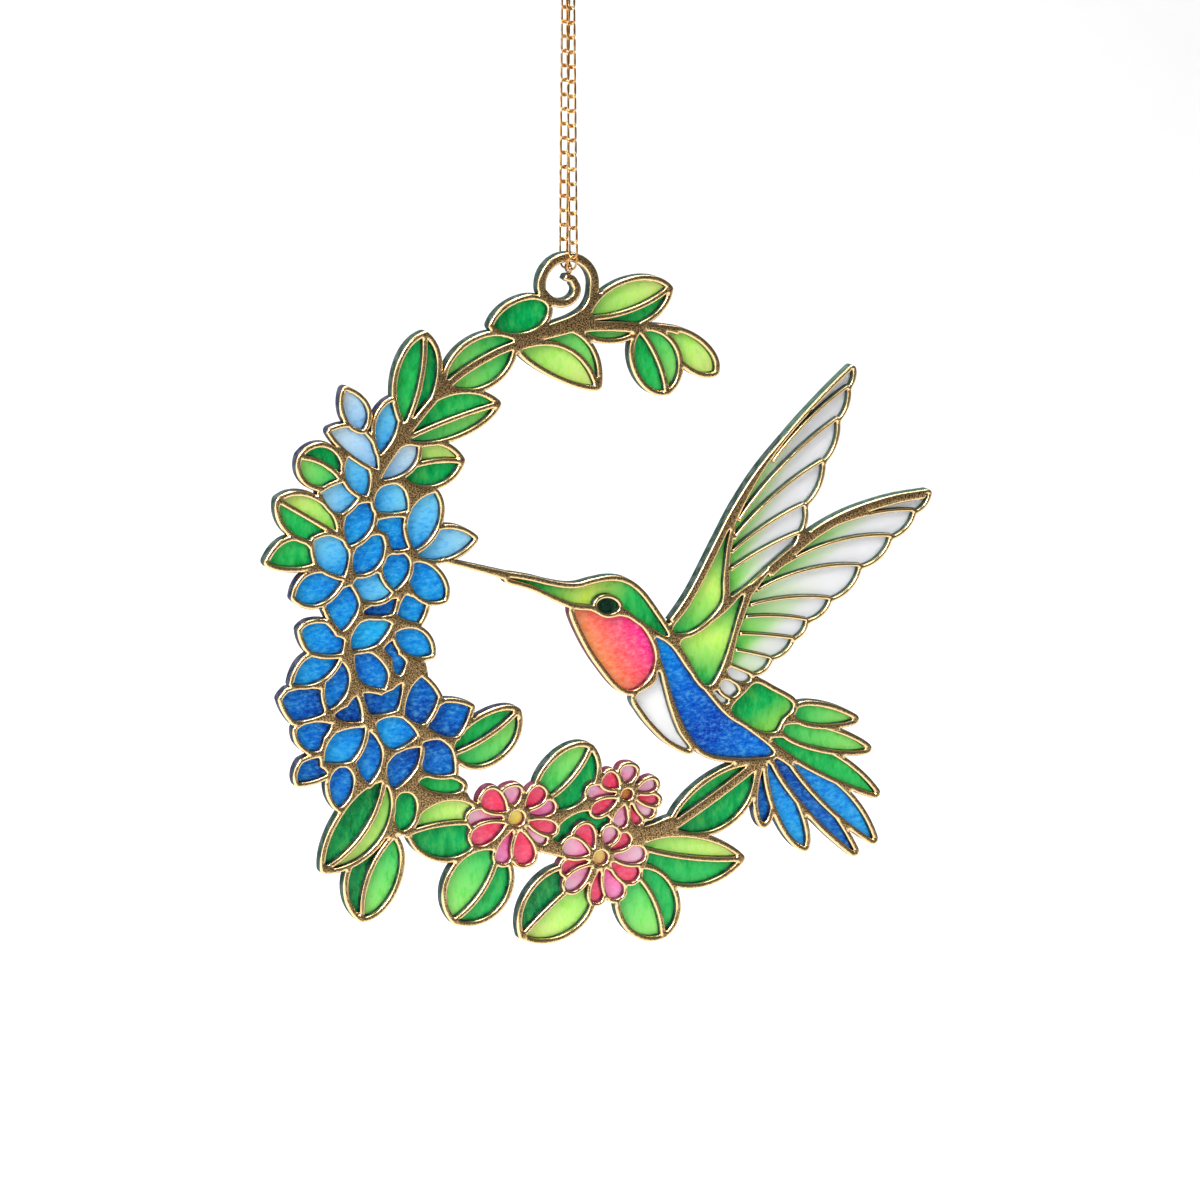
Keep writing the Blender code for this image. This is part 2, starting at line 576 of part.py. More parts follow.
def junctions(verts, triangles, labels):
    """Points where three or more regions meet, the outside being one of them."""
    met = {}
    sides = {}
    for t, triangle in enumerate(triangles):
        for k in range(3):
            met.setdefault(triangle[k], set()).add(labels[t])
            edge = frozenset((triangle[k], triangle[(k + 1) % 3]))
            sides[edge] = sides.get(edge, 0) + 1
    for edge, count in sides.items():
        if count == 1:
            for i in edge:
                met[i].add("outside")
    return {i for i, names in met.items() if len(names) > 2}


def thinned(verts, numbers, chord, fixed=frozenset()):
    """The loop with the fewest points that stay within the chord of it."""
    loop = [tuple(verts[i]) for i in numbers]
    count = len(loop)
    anchors = [i for i in range(count) if numbers[i] in fixed]
    if len(anchors) < 2:
        start = anchors[0] if anchors else max(range(count), key=lambda i: loop[i])
        anchors = [start, max(range(count), key=lambda i: math.dist(loop[start], loop[i]))]
    anchors.sort()
    keep = set(anchors)
    runs = [(a, b) for a, b in zip(anchors, anchors[1:])] + [(anchors[-1], anchors[0] + count)]
    while runs:
        start, end = runs.pop()
        a, b = loop[start % count], loop[end % count]
        dx, dz = b[0] - a[0], b[1] - a[1]
        length = max(math.hypot(dx, dz), 1e-9)
        worst, place = 0.0, None
        for i in range(start + 1, end):
            x, z = loop[i % count]
            off = abs((x - a[0]) * dz - (z - a[1]) * dx) / length
            if off > worst:
                worst, place = off, i
        if place is not None and worst > chord:
            keep.add(place % count)
            runs += [(start, place), (place, end)]
    return [loop[i] for i in sorted(keep)]


def drawn_in(loop, amount):
    """The loop moved towards its left at each corner, to leave a gap to its neighbour."""
    out = []
    for i, (x, z) in enumerate(loop):
        x0, z0 = loop[i - 1]
        x1, z1 = loop[(i + 1) % len(loop)]
        before = Vector((x - x0, z - z0)).normalized()
        after = Vector((x1 - x, z1 - z)).normalized()
        inward = Vector((-before.y - after.y, before.x + after.x))
        if inward.length < 0.2:
            inward = Vector((-before.y, before.x))
        inward.normalize()
        lean = max(inward.dot(Vector((-before.y, before.x))), 0.5)
        out.append((x + inward.x * amount / lean, z + inward.y * amount / lean))
    return out


def untangled(loop):
    """The loop without the small knots that drawing in leaves at sharp corners."""
    count = len(loop)
    for i in range(count):
        for step in (2, 3, 4):
            ends = [loop[(i + k) % count] for k in (0, 1, step, step + 1)]
            crossing = geometry.intersect_line_line_2d(*ends)
            if crossing is not None and count > step + 3:
                rest = [loop[(i + step + 1 + k) % count] for k in range(count - step)]
                return untangled(rest + [tuple(crossing)])
    return loop


def loop_area(verts, numbers):
    return area([tuple(verts[i]) for i in numbers])


def cut_panel():
    """Loops of the leading, and the loops and colour of each glass sheet."""
    motifs = all_motifs()
    verts, triangles, owner, glazed = overlay(motifs)
    panes, _ = islands(triangles, lambda a, b: glazed[a] == glazed[b]
                       and (not glazed[a] or owner[a] == owner[b]))
    for group in panes:
        if glazed[group[0]] and sum(triangle_area(verts, triangles[t]) for t in group) < SMALLEST_PANE:
            for t in group:
                glazed[t] = False
    loops = border_loops(verts, triangles, range(len(triangles)))
    outlines = [loop for loop in loops if loop_area(verts, loop) < -SMALLEST_GAP]
    outlines.append(max(loops, key=lambda loop: loop_area(verts, loop)))
    outlines = [thinned(verts, loop, OUTLINE_CHORD) for loop in outlines]
    openings = []
    panes, _ = islands(triangles, lambda a, b: glazed[a] and glazed[b] and owner[a] == owner[b])
    for group in panes:
        if glazed[group[0]]:
            edge = max(border_loops(verts, triangles, group), key=lambda loop: loop_area(verts, loop))
            openings.append(thinned(verts, edge, OPENING_CHORD))
    sheet_of = [motifs[o]["sheet"] for o in owner]
    groups, sides = islands(triangles, lambda a, b: sheet_of[a] == sheet_of[b])
    groups.sort(key=lambda g: -sum(triangle_area(verts, triangles[t]) for t in g))
    settled = set()
    for group in groups:
        name = sheet_of[group[0]]
        if name not in settled:
            settled.add(name)
            continue
        members, votes = set(group), {}
        for t in group:
            for k in range(3):
                pair = sides[frozenset((triangles[t][k], triangles[t][(k + 1) % 3]))]
                for other in pair:
                    if other not in members:
                        votes[sheet_of[other]] = votes.get(sheet_of[other], 0) + 1
        if votes:
            winner = max(sorted(votes), key=votes.get)
            for t in group:
                sheet_of[t] = winner
    fixed = junctions(verts, triangles, sheet_of)
    sheets = {}
    for name in dict.fromkeys(m["sheet"] for m in motifs):
        members = [t for t in range(len(triangles)) if sheet_of[t] == name]
        colour = next(m["colour"] for m in motifs if m["sheet"] == name)
        parts = border_loops(verts, triangles, members)
        edges = [max(parts, key=lambda loop: loop_area(verts, loop))]
        edges += [loop for loop in parts if loop_area(verts, loop) < -SMALLEST_GAP]
        edges = [thinned(verts, loop, SHEET_CHORD, fixed) for loop in edges]
        sheets[name] = ([untangled(drawn_in(loop, SHEET_GAP / 2)) for loop in edges], colour)
    return outlines, openings, sheets


# Solids

def material(name, colour, roughness, metallic=0.0):
    made = bpy.data.materials.new(name)
    made.use_nodes = True
    shader = made.node_tree.nodes["Principled BSDF"]
    shader.inputs["Base Color"].default_value = (*colour, 1.0)
    shader.inputs["Roughness"].default_value = roughness
    shader.inputs["Metallic"].default_value = metallic
    made.diffuse_color = (*colour, 1.0)
    return made


def flat_solid(name, loops, y_front, thickness, finish, collection, drop):
    """Upright plate from flat loops, with its front at y_front."""
    curve = bpy.data.curves.new(name, "CURVE")
    curve.dimensions = "2D"
    curve.fill_mode = "BOTH"
    curve.extrude = thickness / 2 * MM
    for loop in loops:
        spline = curve.splines.new("POLY")
        spline.points.add(len(loop) - 1)
        for point, (x, z) in zip(spline.points, loop):
            point.co = ((x * SIZE - SEAT_X) * MM, z * SIZE * MM, 0.0, 1.0)
        spline.use_cyclic_u = True
    curve.materials.append(finish)
    plate = bpy.data.objects.new(name, curve)
    plate.rotation_euler = (math.pi / 2, 0.0, 0.0)
    plate.location = (0.0, (y_front + thickness / 2) * MM, drop * MM)
    collection.objects.link(plate)
    return plate


def wire_loop(name, points, wire, finish, collection):
    """Closed wire of round section along a loop of points."""
    curve = bpy.data.curves.new(name, "CURVE")
    curve.dimensions = "3D"
    curve.bevel_depth = wire / 2 * MM
    curve.bevel_resolution = 0
    spline = curve.splines.new("POLY")
    spline.points.add(len(points) - 1)
    for point, place in zip(spline.points, points):
        point.co = (*(Vector(place) * MM), 1.0)
    spline.use_cyclic_u = True
    curve.materials.append(finish)
    item = bpy.data.objects.new(name, curve)
    collection.objects.link(item)
    return item


def chain_joints():
    """Points where links meet, up each side of the seat, measured from the seat's middle line."""
    seat_z = SCROLL_INNER_TOP - SEAT_CLEARANCE - LINK_WIDTH / 2
    ring_radius = (RING_OUTER - RING_WIRE) / 2
    strands = []
    for side in (-1, 1):
        start = Vector((SEAT_X, side * PITCH / 2, seat_z))
        stand_off = PANEL_THICKNESS / 2 + LINK_WIDTH / 2 + CHAIN_FLARE / 4
        out = stand_off - PITCH / 2
        first = start + Vector((0.0, side * out, math.sqrt(PITCH ** 2 - out ** 2)))
        run = (STRAND_LINKS - 1) * PITCH
        aside = Vector((0.0, side * (STRAND_SPREAD - stand_off), 0.0))
        aside.z = math.sqrt(run ** 2 - aside.length ** 2)
        joints = [start, first]
        for k in range(1, STRAND_LINKS):
            joints.append(first + aside * (k / (STRAND_LINKS - 1)))
        strands.append(joints)
    top = strands[0][-1]
    rise = math.sqrt(ring_radius ** 2 - STRAND_SPREAD ** 2)
    ring_centre = Vector((SEAT_X, 0.0, top.z - (RING_WIRE + LINK_SLACK) / 2 + rise))
    return strands, ring_centre


def link_points(start, end, flat_side):
    """Oval link whose middle line runs from start to end."""
    along = (end - start).normalized()
    across = (flat_side - along * flat_side.dot(along)).normalized()
    centre = (start + end) / 2
    half_width = (LINK_WIDTH - WIRE) / 2
    straight = (LINK_LENGTH - LINK_WIDTH) / 2
    points = []
    for sign in (1, -1):
        for degrees in (78, 0, -78):
            a = math.radians(degrees)
            points.append(centre + along * sign * (straight + half_width * math.cos(a))
                          + across * sign * half_width * math.sin(a))
    return points


def make_chain(finish, collection, drop):
    strands, ring_centre = chain_joints()
    lower = Vector((-SEAT_X, 0.0, drop))
    front, back = strands
    joints = front[::-1] + back
    for number, (start, end) in enumerate(zip(joints, joints[1:]), 1):
        above_seat = abs(number - (STRAND_LINKS + 1))
        if above_seat:
            turn = math.radians(FIRST_TURN if above_seat == 1 else LINK_TURNS[above_seat % 2])
            flat_side = Vector((math.sin(turn), math.cos(turn), 0.0))
        else:
            flat_side = Vector((0.0, 0.0, 1.0))
        points = link_points(start + lower, end + lower, flat_side)
        wire_loop(f"chain_link_{number:02d}", points, WIRE, finish, collection)
    bpy.ops.mesh.primitive_torus_add(
        major_segments=RING_SEGMENTS, minor_segments=RING_SIDES,
        major_radius=(RING_OUTER - RING_WIRE) / 2 * MM, minor_radius=RING_WIRE / 2 * MM,
        location=(ring_centre + lower) * MM, rotation=(0.0, math.pi / 2, 0.0))
    ring = bpy.context.object
    ring.name = "hanging_ring"
    ring.data.materials.append(finish)
    ring.data.shade_smooth()
    for old in list(ring.users_collection):
        old.objects.unlink(ring)
    collection.objects.link(ring)


def main():
    for old in list(bpy.data.objects):
        bpy.data.objects.remove(old, do_unlink=True)
    parts = bpy.data.collections.new("hummingbird_suncatcher")
    bpy.context.scene.collection.children.link(parts)
    gold = material("gold_leading", GOLD, 0.3, 1.0)
    chain_gold = material("gold_chain", GOLD, 0.25, 1.0)

    _, ring_centre = chain_joints()
    drop = -(ring_centre.z + RING_OUTER / 2 - RING_WIRE)

    outlines, openings, sheets = cut_panel()
    front = -PANEL_THICKNESS / 2
    flat_solid("leading", outlines + openings, front, LEADING_THICKNESS, gold, parts, drop)
    behind = front + LEADING_THICKNESS + GLUE_LINE
    for name, (loops, colour) in sheets.items():
        glass = material(name, colour, 0.15)
        flat_solid(name, loops, behind, GLASS_THICKNESS, glass, parts, drop)
    make_chain(chain_gold, parts, drop)


main()
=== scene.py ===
"""Looks of the stained glass suncatcher: a hummingbird at a blossom wreath on a fine chain.

The panel is drawn flat in millimetres from the chain's seat, as its solids are. The gold
lines become one rounded relief, and the panes coloured glass in the sheets behind it.
"""
import math

import bpy
import numpy as np
from bpy.props import FloatProperty, FloatVectorProperty, PointerProperty
from mathutils import Matrix, Vector, geometry, kdtree


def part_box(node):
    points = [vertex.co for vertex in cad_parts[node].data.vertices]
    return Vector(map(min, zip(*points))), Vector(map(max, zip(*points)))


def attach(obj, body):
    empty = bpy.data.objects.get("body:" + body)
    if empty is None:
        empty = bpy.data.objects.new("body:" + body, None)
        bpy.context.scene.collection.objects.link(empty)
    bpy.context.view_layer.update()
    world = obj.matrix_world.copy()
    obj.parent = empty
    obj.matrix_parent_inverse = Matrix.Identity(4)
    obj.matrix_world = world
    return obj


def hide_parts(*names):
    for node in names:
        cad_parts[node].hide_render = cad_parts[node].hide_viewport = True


bl_info = {
    "name": "Stained Glass Suncatcher",
    "version": (1, 0, 0),
    "blender": (4, 5, 0),
    "location": "3D View > Sidebar > Suncatcher",
    "description": "Gold leading, glass panes, chain and studio of a hanging window panel",
    "category": "Object",
}

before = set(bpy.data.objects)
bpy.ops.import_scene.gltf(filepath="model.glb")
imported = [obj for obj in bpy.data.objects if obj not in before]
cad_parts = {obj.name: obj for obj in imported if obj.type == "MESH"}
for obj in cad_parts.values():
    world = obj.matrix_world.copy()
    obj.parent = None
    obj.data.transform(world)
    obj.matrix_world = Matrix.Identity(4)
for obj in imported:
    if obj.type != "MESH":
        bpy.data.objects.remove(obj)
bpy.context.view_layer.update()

MM = 0.001

# Corners of the boxes that the leading and the glass keep to in the frame
LEADING_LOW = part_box("leading")[0]
GLASS_LOW, GLASS_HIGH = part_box("glass_blossoms")

# The drawing's zero is at x = -SEAT_X and z = DROP in the frame, in millimetres
SEAT_X = 1.05
DROP = -61.1281

# Widths of the gold lines seen from the front, in millimetres
LINE = 1.25
FINE_LINE = 0.95
RIB = 1.2
PETAL_LINE = 1.1
FEATHER_RIB = 0.8
STEM = 2.2
LEAF_STEM = 2.6
BLOSSOM_STEM = 3.2
SCROLL_BAND = 2.1

# The scroll, whose radius shrinks to the curl's after half a turn
SCROLL_CENTRE = (0.6, -4.9)
SCROLL_RADIUS = 5.8
CURL_RADIUS = 1.5
SCROLL_START = -8
SCROLL_STEP = 6
SCROLL_STEPS = 80

# How far past its own outline a petal is drawn, so that its neighbours cut it
PETAL_SPARE = 0.4

# Areas in square millimetres under which a pane or a gap is filled with gold
SMALLEST_PANE = 2.0
SMALLEST_GAP = 9.0

# Distances between the points inside the glass, inside the gold and along the gold's edge,
# and between the samples that a point's distance from the edge is measured to
GLASS_NET = 1.1
GOLD_NET = 0.75
EDGE_STEP = 0.45
EDGE_SAMPLE = 0.07

# Degrees round the gold's shoulder at which rows of points stand, and the least room of a point
SHOULDER_ROWS = (32, 60, 90)
POINT_ROOM = 0.22

# Shades of the glass: darker under the gold, a little brighter in a pane, and darker again beside
# the gold by the last of these, more so the darker its tint is; that darkening beside the gold is
# painted shade, standing in for the shade of the gold's walls over the sunken pane
COVERED_SHADE = 0.3
PANE_SHADE = 1.1
RIM_PAINTED_SHADE = 0.35

# Share of its handles' offset that the middle of a cubic curve reaches
HANDLE_SHARE = 0.75

# Points nearer than this become one when outlines are cut into triangles
WELD = 1e-4

# Glass tints as they look against white, each from root to tip
TINTS = {
    "dark": ("#007C42", "#009E52"),
    "deep": ("#009C50", "#04BA62"),
    "green": ("#00B45C", "#36CC66"),
    "fresh": ("#28CC6A", "#A4EE7C"),
    "lime": ("#A0E86C", "#EAFF94"),
    "frost blue": ("#92C8F0", "#E0F0FA"),
    "ice blue": ("#4CB8EC", "#B0E4FA"),
    "sky": ("#1CA4E8", "#84DAF8"),
    "cyan": ("#00A0E4", "#30C4F6"),
    "azure": ("#0084DC", "#22ACEC"),
    "royal": ("#0062C8", "#0E8CDE"),
    "deep blue": ("#0040A8", "#0878D2"),
    "rose": ("#FC3460", "#FF6484"),
    "pink": ("#FF54A4", "#FF9CCC"),
    "pale pink": ("#FF98C0", "#FFD4E2"),
    "blush": ("#FF8CB8", "#FFCCDE"),
    "yellow": ("#FFD850", "#FFEC84"),
    "amber": ("#FFCC74", "#FFE294"),
    "orange": ("#D88834", "#E4A050"),
    "head": ("#00A050", "#34C058", "#D8EC70", "#24C05E", "#009E52"),
    "rump": ("#009A4C", "#0CB45A", "#98DE64"),
    "back": ("#0C9CEC", "#0068D0", "#0044B8", "#0480E0"),
    "ink": ("#0B2A20", "#103830"),
    "throat": ("#FFC060", "#FF7868", "#FF3098"),
    "white": ("#F6F8F4", "#F8F8FA"),
    "feather": ("#2CC850", "#98EC70", "#DCF8C4", "#F6F8F4", "#FAFAFD"),
    "shoulder": ("#48CC64", "#D4FA7C", "#30BC5C"),
}

# The glass seen through its edge, for each sheet
EDGES = {
    "glass_flower_left": "#6A1438", "glass_flower_middle": "#6A1438",
    "glass_flower_right": "#6A1438", "glass_throat": "#581828", "glass_belly": "#38484A",
    "glass_back": "#0C1640", "glass_blossoms": "#101436", "glass_blue_tail": "#0A1038",
    "glass_upper_wing": "#2C4A3E", "glass_lower_wing": "#2C4A3E",
}
LEAF_EDGE = "#0C2E26"
LEAF_TINTS = ("dark", "deep", "green", "fresh", "lime")


def linear(code):
    """Linear colour of an sRGB hex code."""
    parts = [int(code[k:k + 2], 16) / 255 for k in (1, 3, 5)]
    return tuple(c / 12.92 if c <= 0.04045 else ((c + 0.055) / 1.055) ** 2.4 for c in parts)


# Flat curves

def wrapped(angle):
    """The angle brought between half a turn back and half a turn on."""
    return (angle + math.pi) % (2 * math.pi) - math.pi


def bezier(p0, p1, p2, p3, steps):
    """Points of a cubic curve from p0 up to but without p3."""
    points = []
    for i in range(steps):
        t = i / steps
        a, b, c, d = (1 - t) ** 3, 3 * t * (1 - t) ** 2, 3 * t * t * (1 - t), t ** 3
        points.append((a * p0[0] + b * p1[0] + c * p2[0] + d * p3[0],
                       a * p0[1] + b * p1[1] + c * p2[1] + d * p3[1]))
    return points


def blade(root, tip, left, right, root_sharp=0.2, tip_sharp=0.2, steps=26):
    """Closed leaf shape from root to tip; left and right are its greatest half-widths."""
    ax, az = tip[0] - root[0], tip[1] - root[1]
    length = math.hypot(ax, az)
    nx, nz = -az / length, ax / length

    def side(bulge):
        reach = bulge / HANDLE_SHARE
        return ((root[0] + ax * root_sharp + nx * reach, root[1] + az * root_sharp + nz * reach),
                (tip[0] - ax * tip_sharp + nx * reach, tip[1] - az * tip_sharp + nz * reach))

    r1, r2 = side(-right)
    l1, l2 = side(left)
    return bezier(root, r1, r2, tip, steps) + bezier(tip, l2, l1, root, steps)


def bowed(start, end, bow, steps=24):
    """Open line from start to end that bows to its left by the given amount."""
    ax, az = end[0] - start[0], end[1] - start[1]
    length = math.hypot(ax, az)
    nx, nz = -az / length * bow / HANDLE_SHARE, ax / length * bow / HANDLE_SHARE
    line = bezier(start, (start[0] + ax * 0.3 + nx, start[1] + az * 0.3 + nz),
                  (end[0] - ax * 0.3 + nx, end[1] - az * 0.3 + nz), end, steps)
    return line + [end]


def smooth(points, closed=False, steps=9):
    """Catmull-Rom curve through the points."""
    count = len(points)
    out = []
    for i in range(count if closed else count - 1):
        if closed:
            a, b, c, d = (points[(i + k - 1) % count] for k in range(4))
        else:
            a, b = points[max(i - 1, 0)], points[i]
            c, d = points[i + 1], points[min(i + 2, count - 1)]
        for s in range(steps):
            t = s / steps
            out.append(tuple(
                0.5 * (2 * b[k] + (c[k] - a[k]) * t
                       + (2 * a[k] - 5 * b[k] + 4 * c[k] - d[k]) * t * t
                       + (3 * b[k] - a[k] - 3 * c[k] + d[k]) * t ** 3) for k in (0, 1)))
    if not closed:
        out.append(points[-1])
    return out


def stroke(line, start_width, end_width=None):
    """Closed outline of a line drawn with a round-ended brush."""
    end_width = start_width if end_width is None else end_width
    last = len(line) - 1
    left, right = [], []
    for i, (x, z) in enumerate(line):
        bx, bz = line[max(i - 1, 0)]
        cx, cz = line[min(i + 1, last)]
        length = math.hypot(cx - bx, cz - bz)
        half = 0.5 * (start_width + (end_width - start_width) * i / last)
        nx, nz = -(cz - bz) / length * half, (cx - bx) / length * half
        left.append((x + nx, z + nz))
        right.append((x - nx, z - nz))
        if i == last:
            right.append((x + nz * 0.8, z - nx * 0.8))
    return right + left[::-1]


def area(loop):
    """Area inside the loop, above zero where it runs anticlockwise."""
    total = 0.0
    for (x0, z0), (x1, z1) in zip(loop, loop[1:] + loop[:1]):
        total += x0 * z1 - x1 * z0
    return total / 2


def anticlockwise(loop):
    return loop if area(loop) > 0 else loop[::-1]


def distance_to(loop, x, z):
    best = 1e9
    for (x0, z0), (x1, z1) in zip(loop, loop[1:] + loop[:1]):
        dx, dz = x1 - x0, z1 - z0
        t = ((x - x0) * dx + (z - z0) * dz) / max(dx * dx + dz * dz, 1e-12)
        t = min(max(t, 0.0), 1.0)
        best = min(best, (x - x0 - t * dx) ** 2 + (z - z0 - t * dz) ** 2)
    return math.sqrt(best)


def grown(loop, amount, corner_steps=5):
    """The closed loop moved outwards, with round corners and no crossings."""
    loop = anticlockwise(loop)
    count = len(loop)
    out = []
    for i in range(count):
        x0, z0 = loop[i - 1]
        x, z = loop[i]
        x1, z1 = loop[(i + 1) % count]
        a0 = math.atan2(-(x - x0), z - z0)
        a1 = math.atan2(-(x1 - x), z1 - z)
        turn = wrapped(a1 - a0)
        fan = corner_steps if turn > 0.5 else 0
        for k in range(fan + 1):
            angle = a0 + turn * (k / fan if fan else 0.5)
            px, pz = x + amount * math.cos(angle), z + amount * math.sin(angle)
            if distance_to(loop, px, pz) > amount * 0.96:
                out.append((px, pz))
    return out


# Motifs, each one a dictionary of flat loops in painter's order, front first

def tint(start, end, left, right=None, bow=0.0):
    """Colours of a pane: on each side of a bowed line, from its start to its end."""
    return {"start": start, "end": end, "bow": bow, "sides": (left, right or left)}


def motif(sheet, colours, body, glass=(), bars=()):
    return {"sheet": sheet, "colours": colours, "body": body, "glass": list(glass),
            "bars": list(bars)}


def pane(sheet, colours, outline, line=LINE):
    """Pane of glass with a gold line round it."""
    return motif(sheet, colours, [grown(outline, line)], [outline])


def blade_pane(sheet, name, root, tip, *shape, line=LINE):
    return pane(sheet, tint(root, tip, name), blade(root, tip, *shape), line)


def gold(sheet, outline):
    """Gold with no pane of its own; the glass behind it is its neighbours' colour."""
    return motif(sheet, None, [outline])


def gold_line(sheet, points, *widths):
    """Gold drawn with a brush along a smooth curve through the points."""
    return gold(sheet, stroke(smooth(points), *widths))


def leaf(sheet, names, root, tip, left, right, rib, root_sharp=0.2, tip_sharp=0.2, rib_width=RIB):
    """Leaf with a rib; names are the tints on the left and right of the rib."""
    outline = blade(root, tip, left, right, root_sharp, tip_sharp)
    bar = stroke(bowed(root, tip, rib), rib_width)
    return motif(sheet, tint(root, tip, *names, rib), [grown(outline, LINE)], [outline], [bar])


def petal(name, root, tip, left, right, root_sharp=0.12, tip_sharp=0.08):
    """Blossom petal, drawn a little large so that neighbours cut one another."""
    ax, az = tip[0] - root[0], tip[1] - root[1]
    part = PETAL_SPARE / math.hypot(ax, az)
    return blade_pane("glass_blossoms", name, (root[0] - ax * part, root[1] - az * part),
                      (tip[0] + ax * part, tip[1] + az * part),
                      left + PETAL_SPARE, right + PETAL_SPARE,
                      root_sharp + 0.08, tip_sharp + 0.1, line=PETAL_LINE)


def facet(name, root, tip, corners):
    """Blossom petal with corners; each of its sides bows out a little."""
    corners = anticlockwise(corners)
    outline = []
    for (ax, az), (bx, bz) in zip(corners, corners[1:] + corners[:1]):
        for k in range(6):
            part = k / 6
            bow = 0.24 * part * (1 - part)
            outline.append((ax + (bx - ax) * part + (bz - az) * bow,
                            az + (bz - az) * part - (bx - ax) * bow))
    return pane("glass_blossoms", tint(root, tip, name), outline, PETAL_LINE)


def flower(sheet, centre, eye, names, petals):
    """Small flower; each petal is its direction in degrees, reach and width."""
    cx, cz = centre
    hub = [(cx + eye * math.cos(a), cz + eye * math.sin(a))
           for a in (2 * math.pi * k / 24 for k in range(24))]
    parts = [pane(sheet, tint((cx, cz - eye), (cx, cz + eye), names[0]), hub, FINE_LINE)]
    root_radius = eye + FINE_LINE + 0.35
    for name, (degrees, reach, width) in zip(names[1:], petals):
        ux, uz = math.cos(math.radians(degrees)), math.sin(math.radians(degrees))
        root = (cx + ux * root_radius, cz + uz * root_radius)
        tip = (cx + ux * reach, cz + uz * reach)
        outline = blade(root, tip, width / 2, width / 2, 0.45, -0.02, 14)
        parts.append(pane(sheet, tint(root, tip, name), outline, FINE_LINE))
    parts.append(gold(sheet, grown(hub, 2 * FINE_LINE)))
    return parts


def wing(sheet, colours, front, ribs, root_line, scallop=0.16):
    """Fan of feathers: the front edge, then ribs from root to notch with their bow."""
    outline = smooth(front)
    notches = [front[-1]] + [rib[1] for rib in ribs]
    for start, end in zip(notches, notches[1:]):
        length = math.hypot(end[0] - start[0], end[1] - start[1])
        outline += bowed(start, end, scallop * length, 12)[1:]
    outline += root_line
    bars = []
    for root, notch, bow in ribs[:-1]:
        run = (notch[0] - root[0], notch[1] - root[1])
        past = (notch[0] + run[0] * 0.02, notch[1] + run[1] * 0.02)
        bars.append(stroke(bowed(root, past, bow), FEATHER_RIB))
    return motif(sheet, colours, [grown(outline, FINE_LINE)], [outline], bars)


def scroll_line():
    """Centre line of the scroll: over half a circle, then a tightening curl."""
    cx, cz = SCROLL_CENTRE
    line = []
    for k in range(SCROLL_STEPS):
        degrees = SCROLL_START + SCROLL_STEP * k
        turned = max(0.0, degrees - 190) / 180
        radius = SCROLL_RADIUS - (SCROLL_RADIUS - CURL_RADIUS) * min(turned, 1.0) ** 0.8
        a = math.radians(degrees)
        line.append((cx + radius * math.cos(a), cz + radius * math.sin(a)))
    return line


def branch():
    """Scroll, band and stem at the top, with the leaves on them."""
    name = "glass_branch"
    band = [(6.4, -5.5), (5.9, -8.2), (4.3, -10.6), (1.6, -12.2), (-1.5, -13.2), (-4.3, -14.0)]
    stem = [(25.2, -15.9), (23.2, -15.2), (20, -14.7), (14, -14), (8, -13.6), (4, -13.7),
            (-2, -14.8), (-8, -16), (-16, -18.6), (-25, -23.8), (-33, -32), (-40, -41),
            (-42.5, -47)]
    return [
        gold(name, stroke(scroll_line(), SCROLL_BAND, SCROLL_BAND * 0.75)),
        gold_line(name, band, SCROLL_BAND),
        gold_line(name, [(3.6, -11.2), (6, -13.4)], STEM),
        gold_line(name, stem, STEM * 0.7, STEM * 0.9),
        blade_pane(name, "fresh", (4.6, -15), (14.6, -15.6), 0.2, 1.2, 0.3, 0.3),
        leaf(name, ("fresh", "green"), (16.8, -15.5), (22.4, -28.0), 5.0, 3.9, 0.9, 0.15, 0.1),
        blade_pane(name, "lime", (22.2, -15.6), (33, -24.6), 2.6, 2.4, 0.3, 0.12),
        leaf(name, ("lime", "green"), (5.8, -12), (22.6, -6.9), 4.2, 4.4, -1.4, 0.15, 0.15),
        leaf(name, ("fresh", "lime"), (-9.8, -17.5), (6.9, -26.2), 7.4, 1.5, 4.2, 0.2, 0.2),
        blade_pane(name, "deep", (-15.6, -12.6), (-4.0, -9.4), 2.9, 3.3, 0.25, 0.05),
        pane(name, tint((-11.5, -15.8), (-25.9, -23.7), "fresh"),
             blade((-25.9, -23.7), (-11.5, -15.8), 4.0, 5.0)),
        leaf(name, ("deep", "green"), (-30.6, -14.2), (-34.7, -32.2), 4.2, 3.8, 1.2, 0.15, 0.25),
        leaf(name, ("green", "fresh"), (-34.5, -35), (-15.3, -29), 5.1, 2.9, 0.4),
    ]


def left_leaves():
    name = "glass_left_leaves"
    return [
        leaf(name, ("fresh", "deep"), (-49, -42.5), (-57, -37.7), 3.7, 4.0, -0.9, 0.2, 0.1),
        leaf(name, ("green", "lime"), (-50, -54), (-61.8, -46.6), 4.2, 3.7, 0.0, 0.2, 0.15),
        blade_pane(name, "green", (-54.5, -59.5), (-64.3, -59), 1.0, 4.3, 0.2, 0.25),
        leaf("glass_branch", ("lime", "deep"), (-36, -41.8), (-23.2, -40.4), 4.3, 3.9, 0.9),
    ]


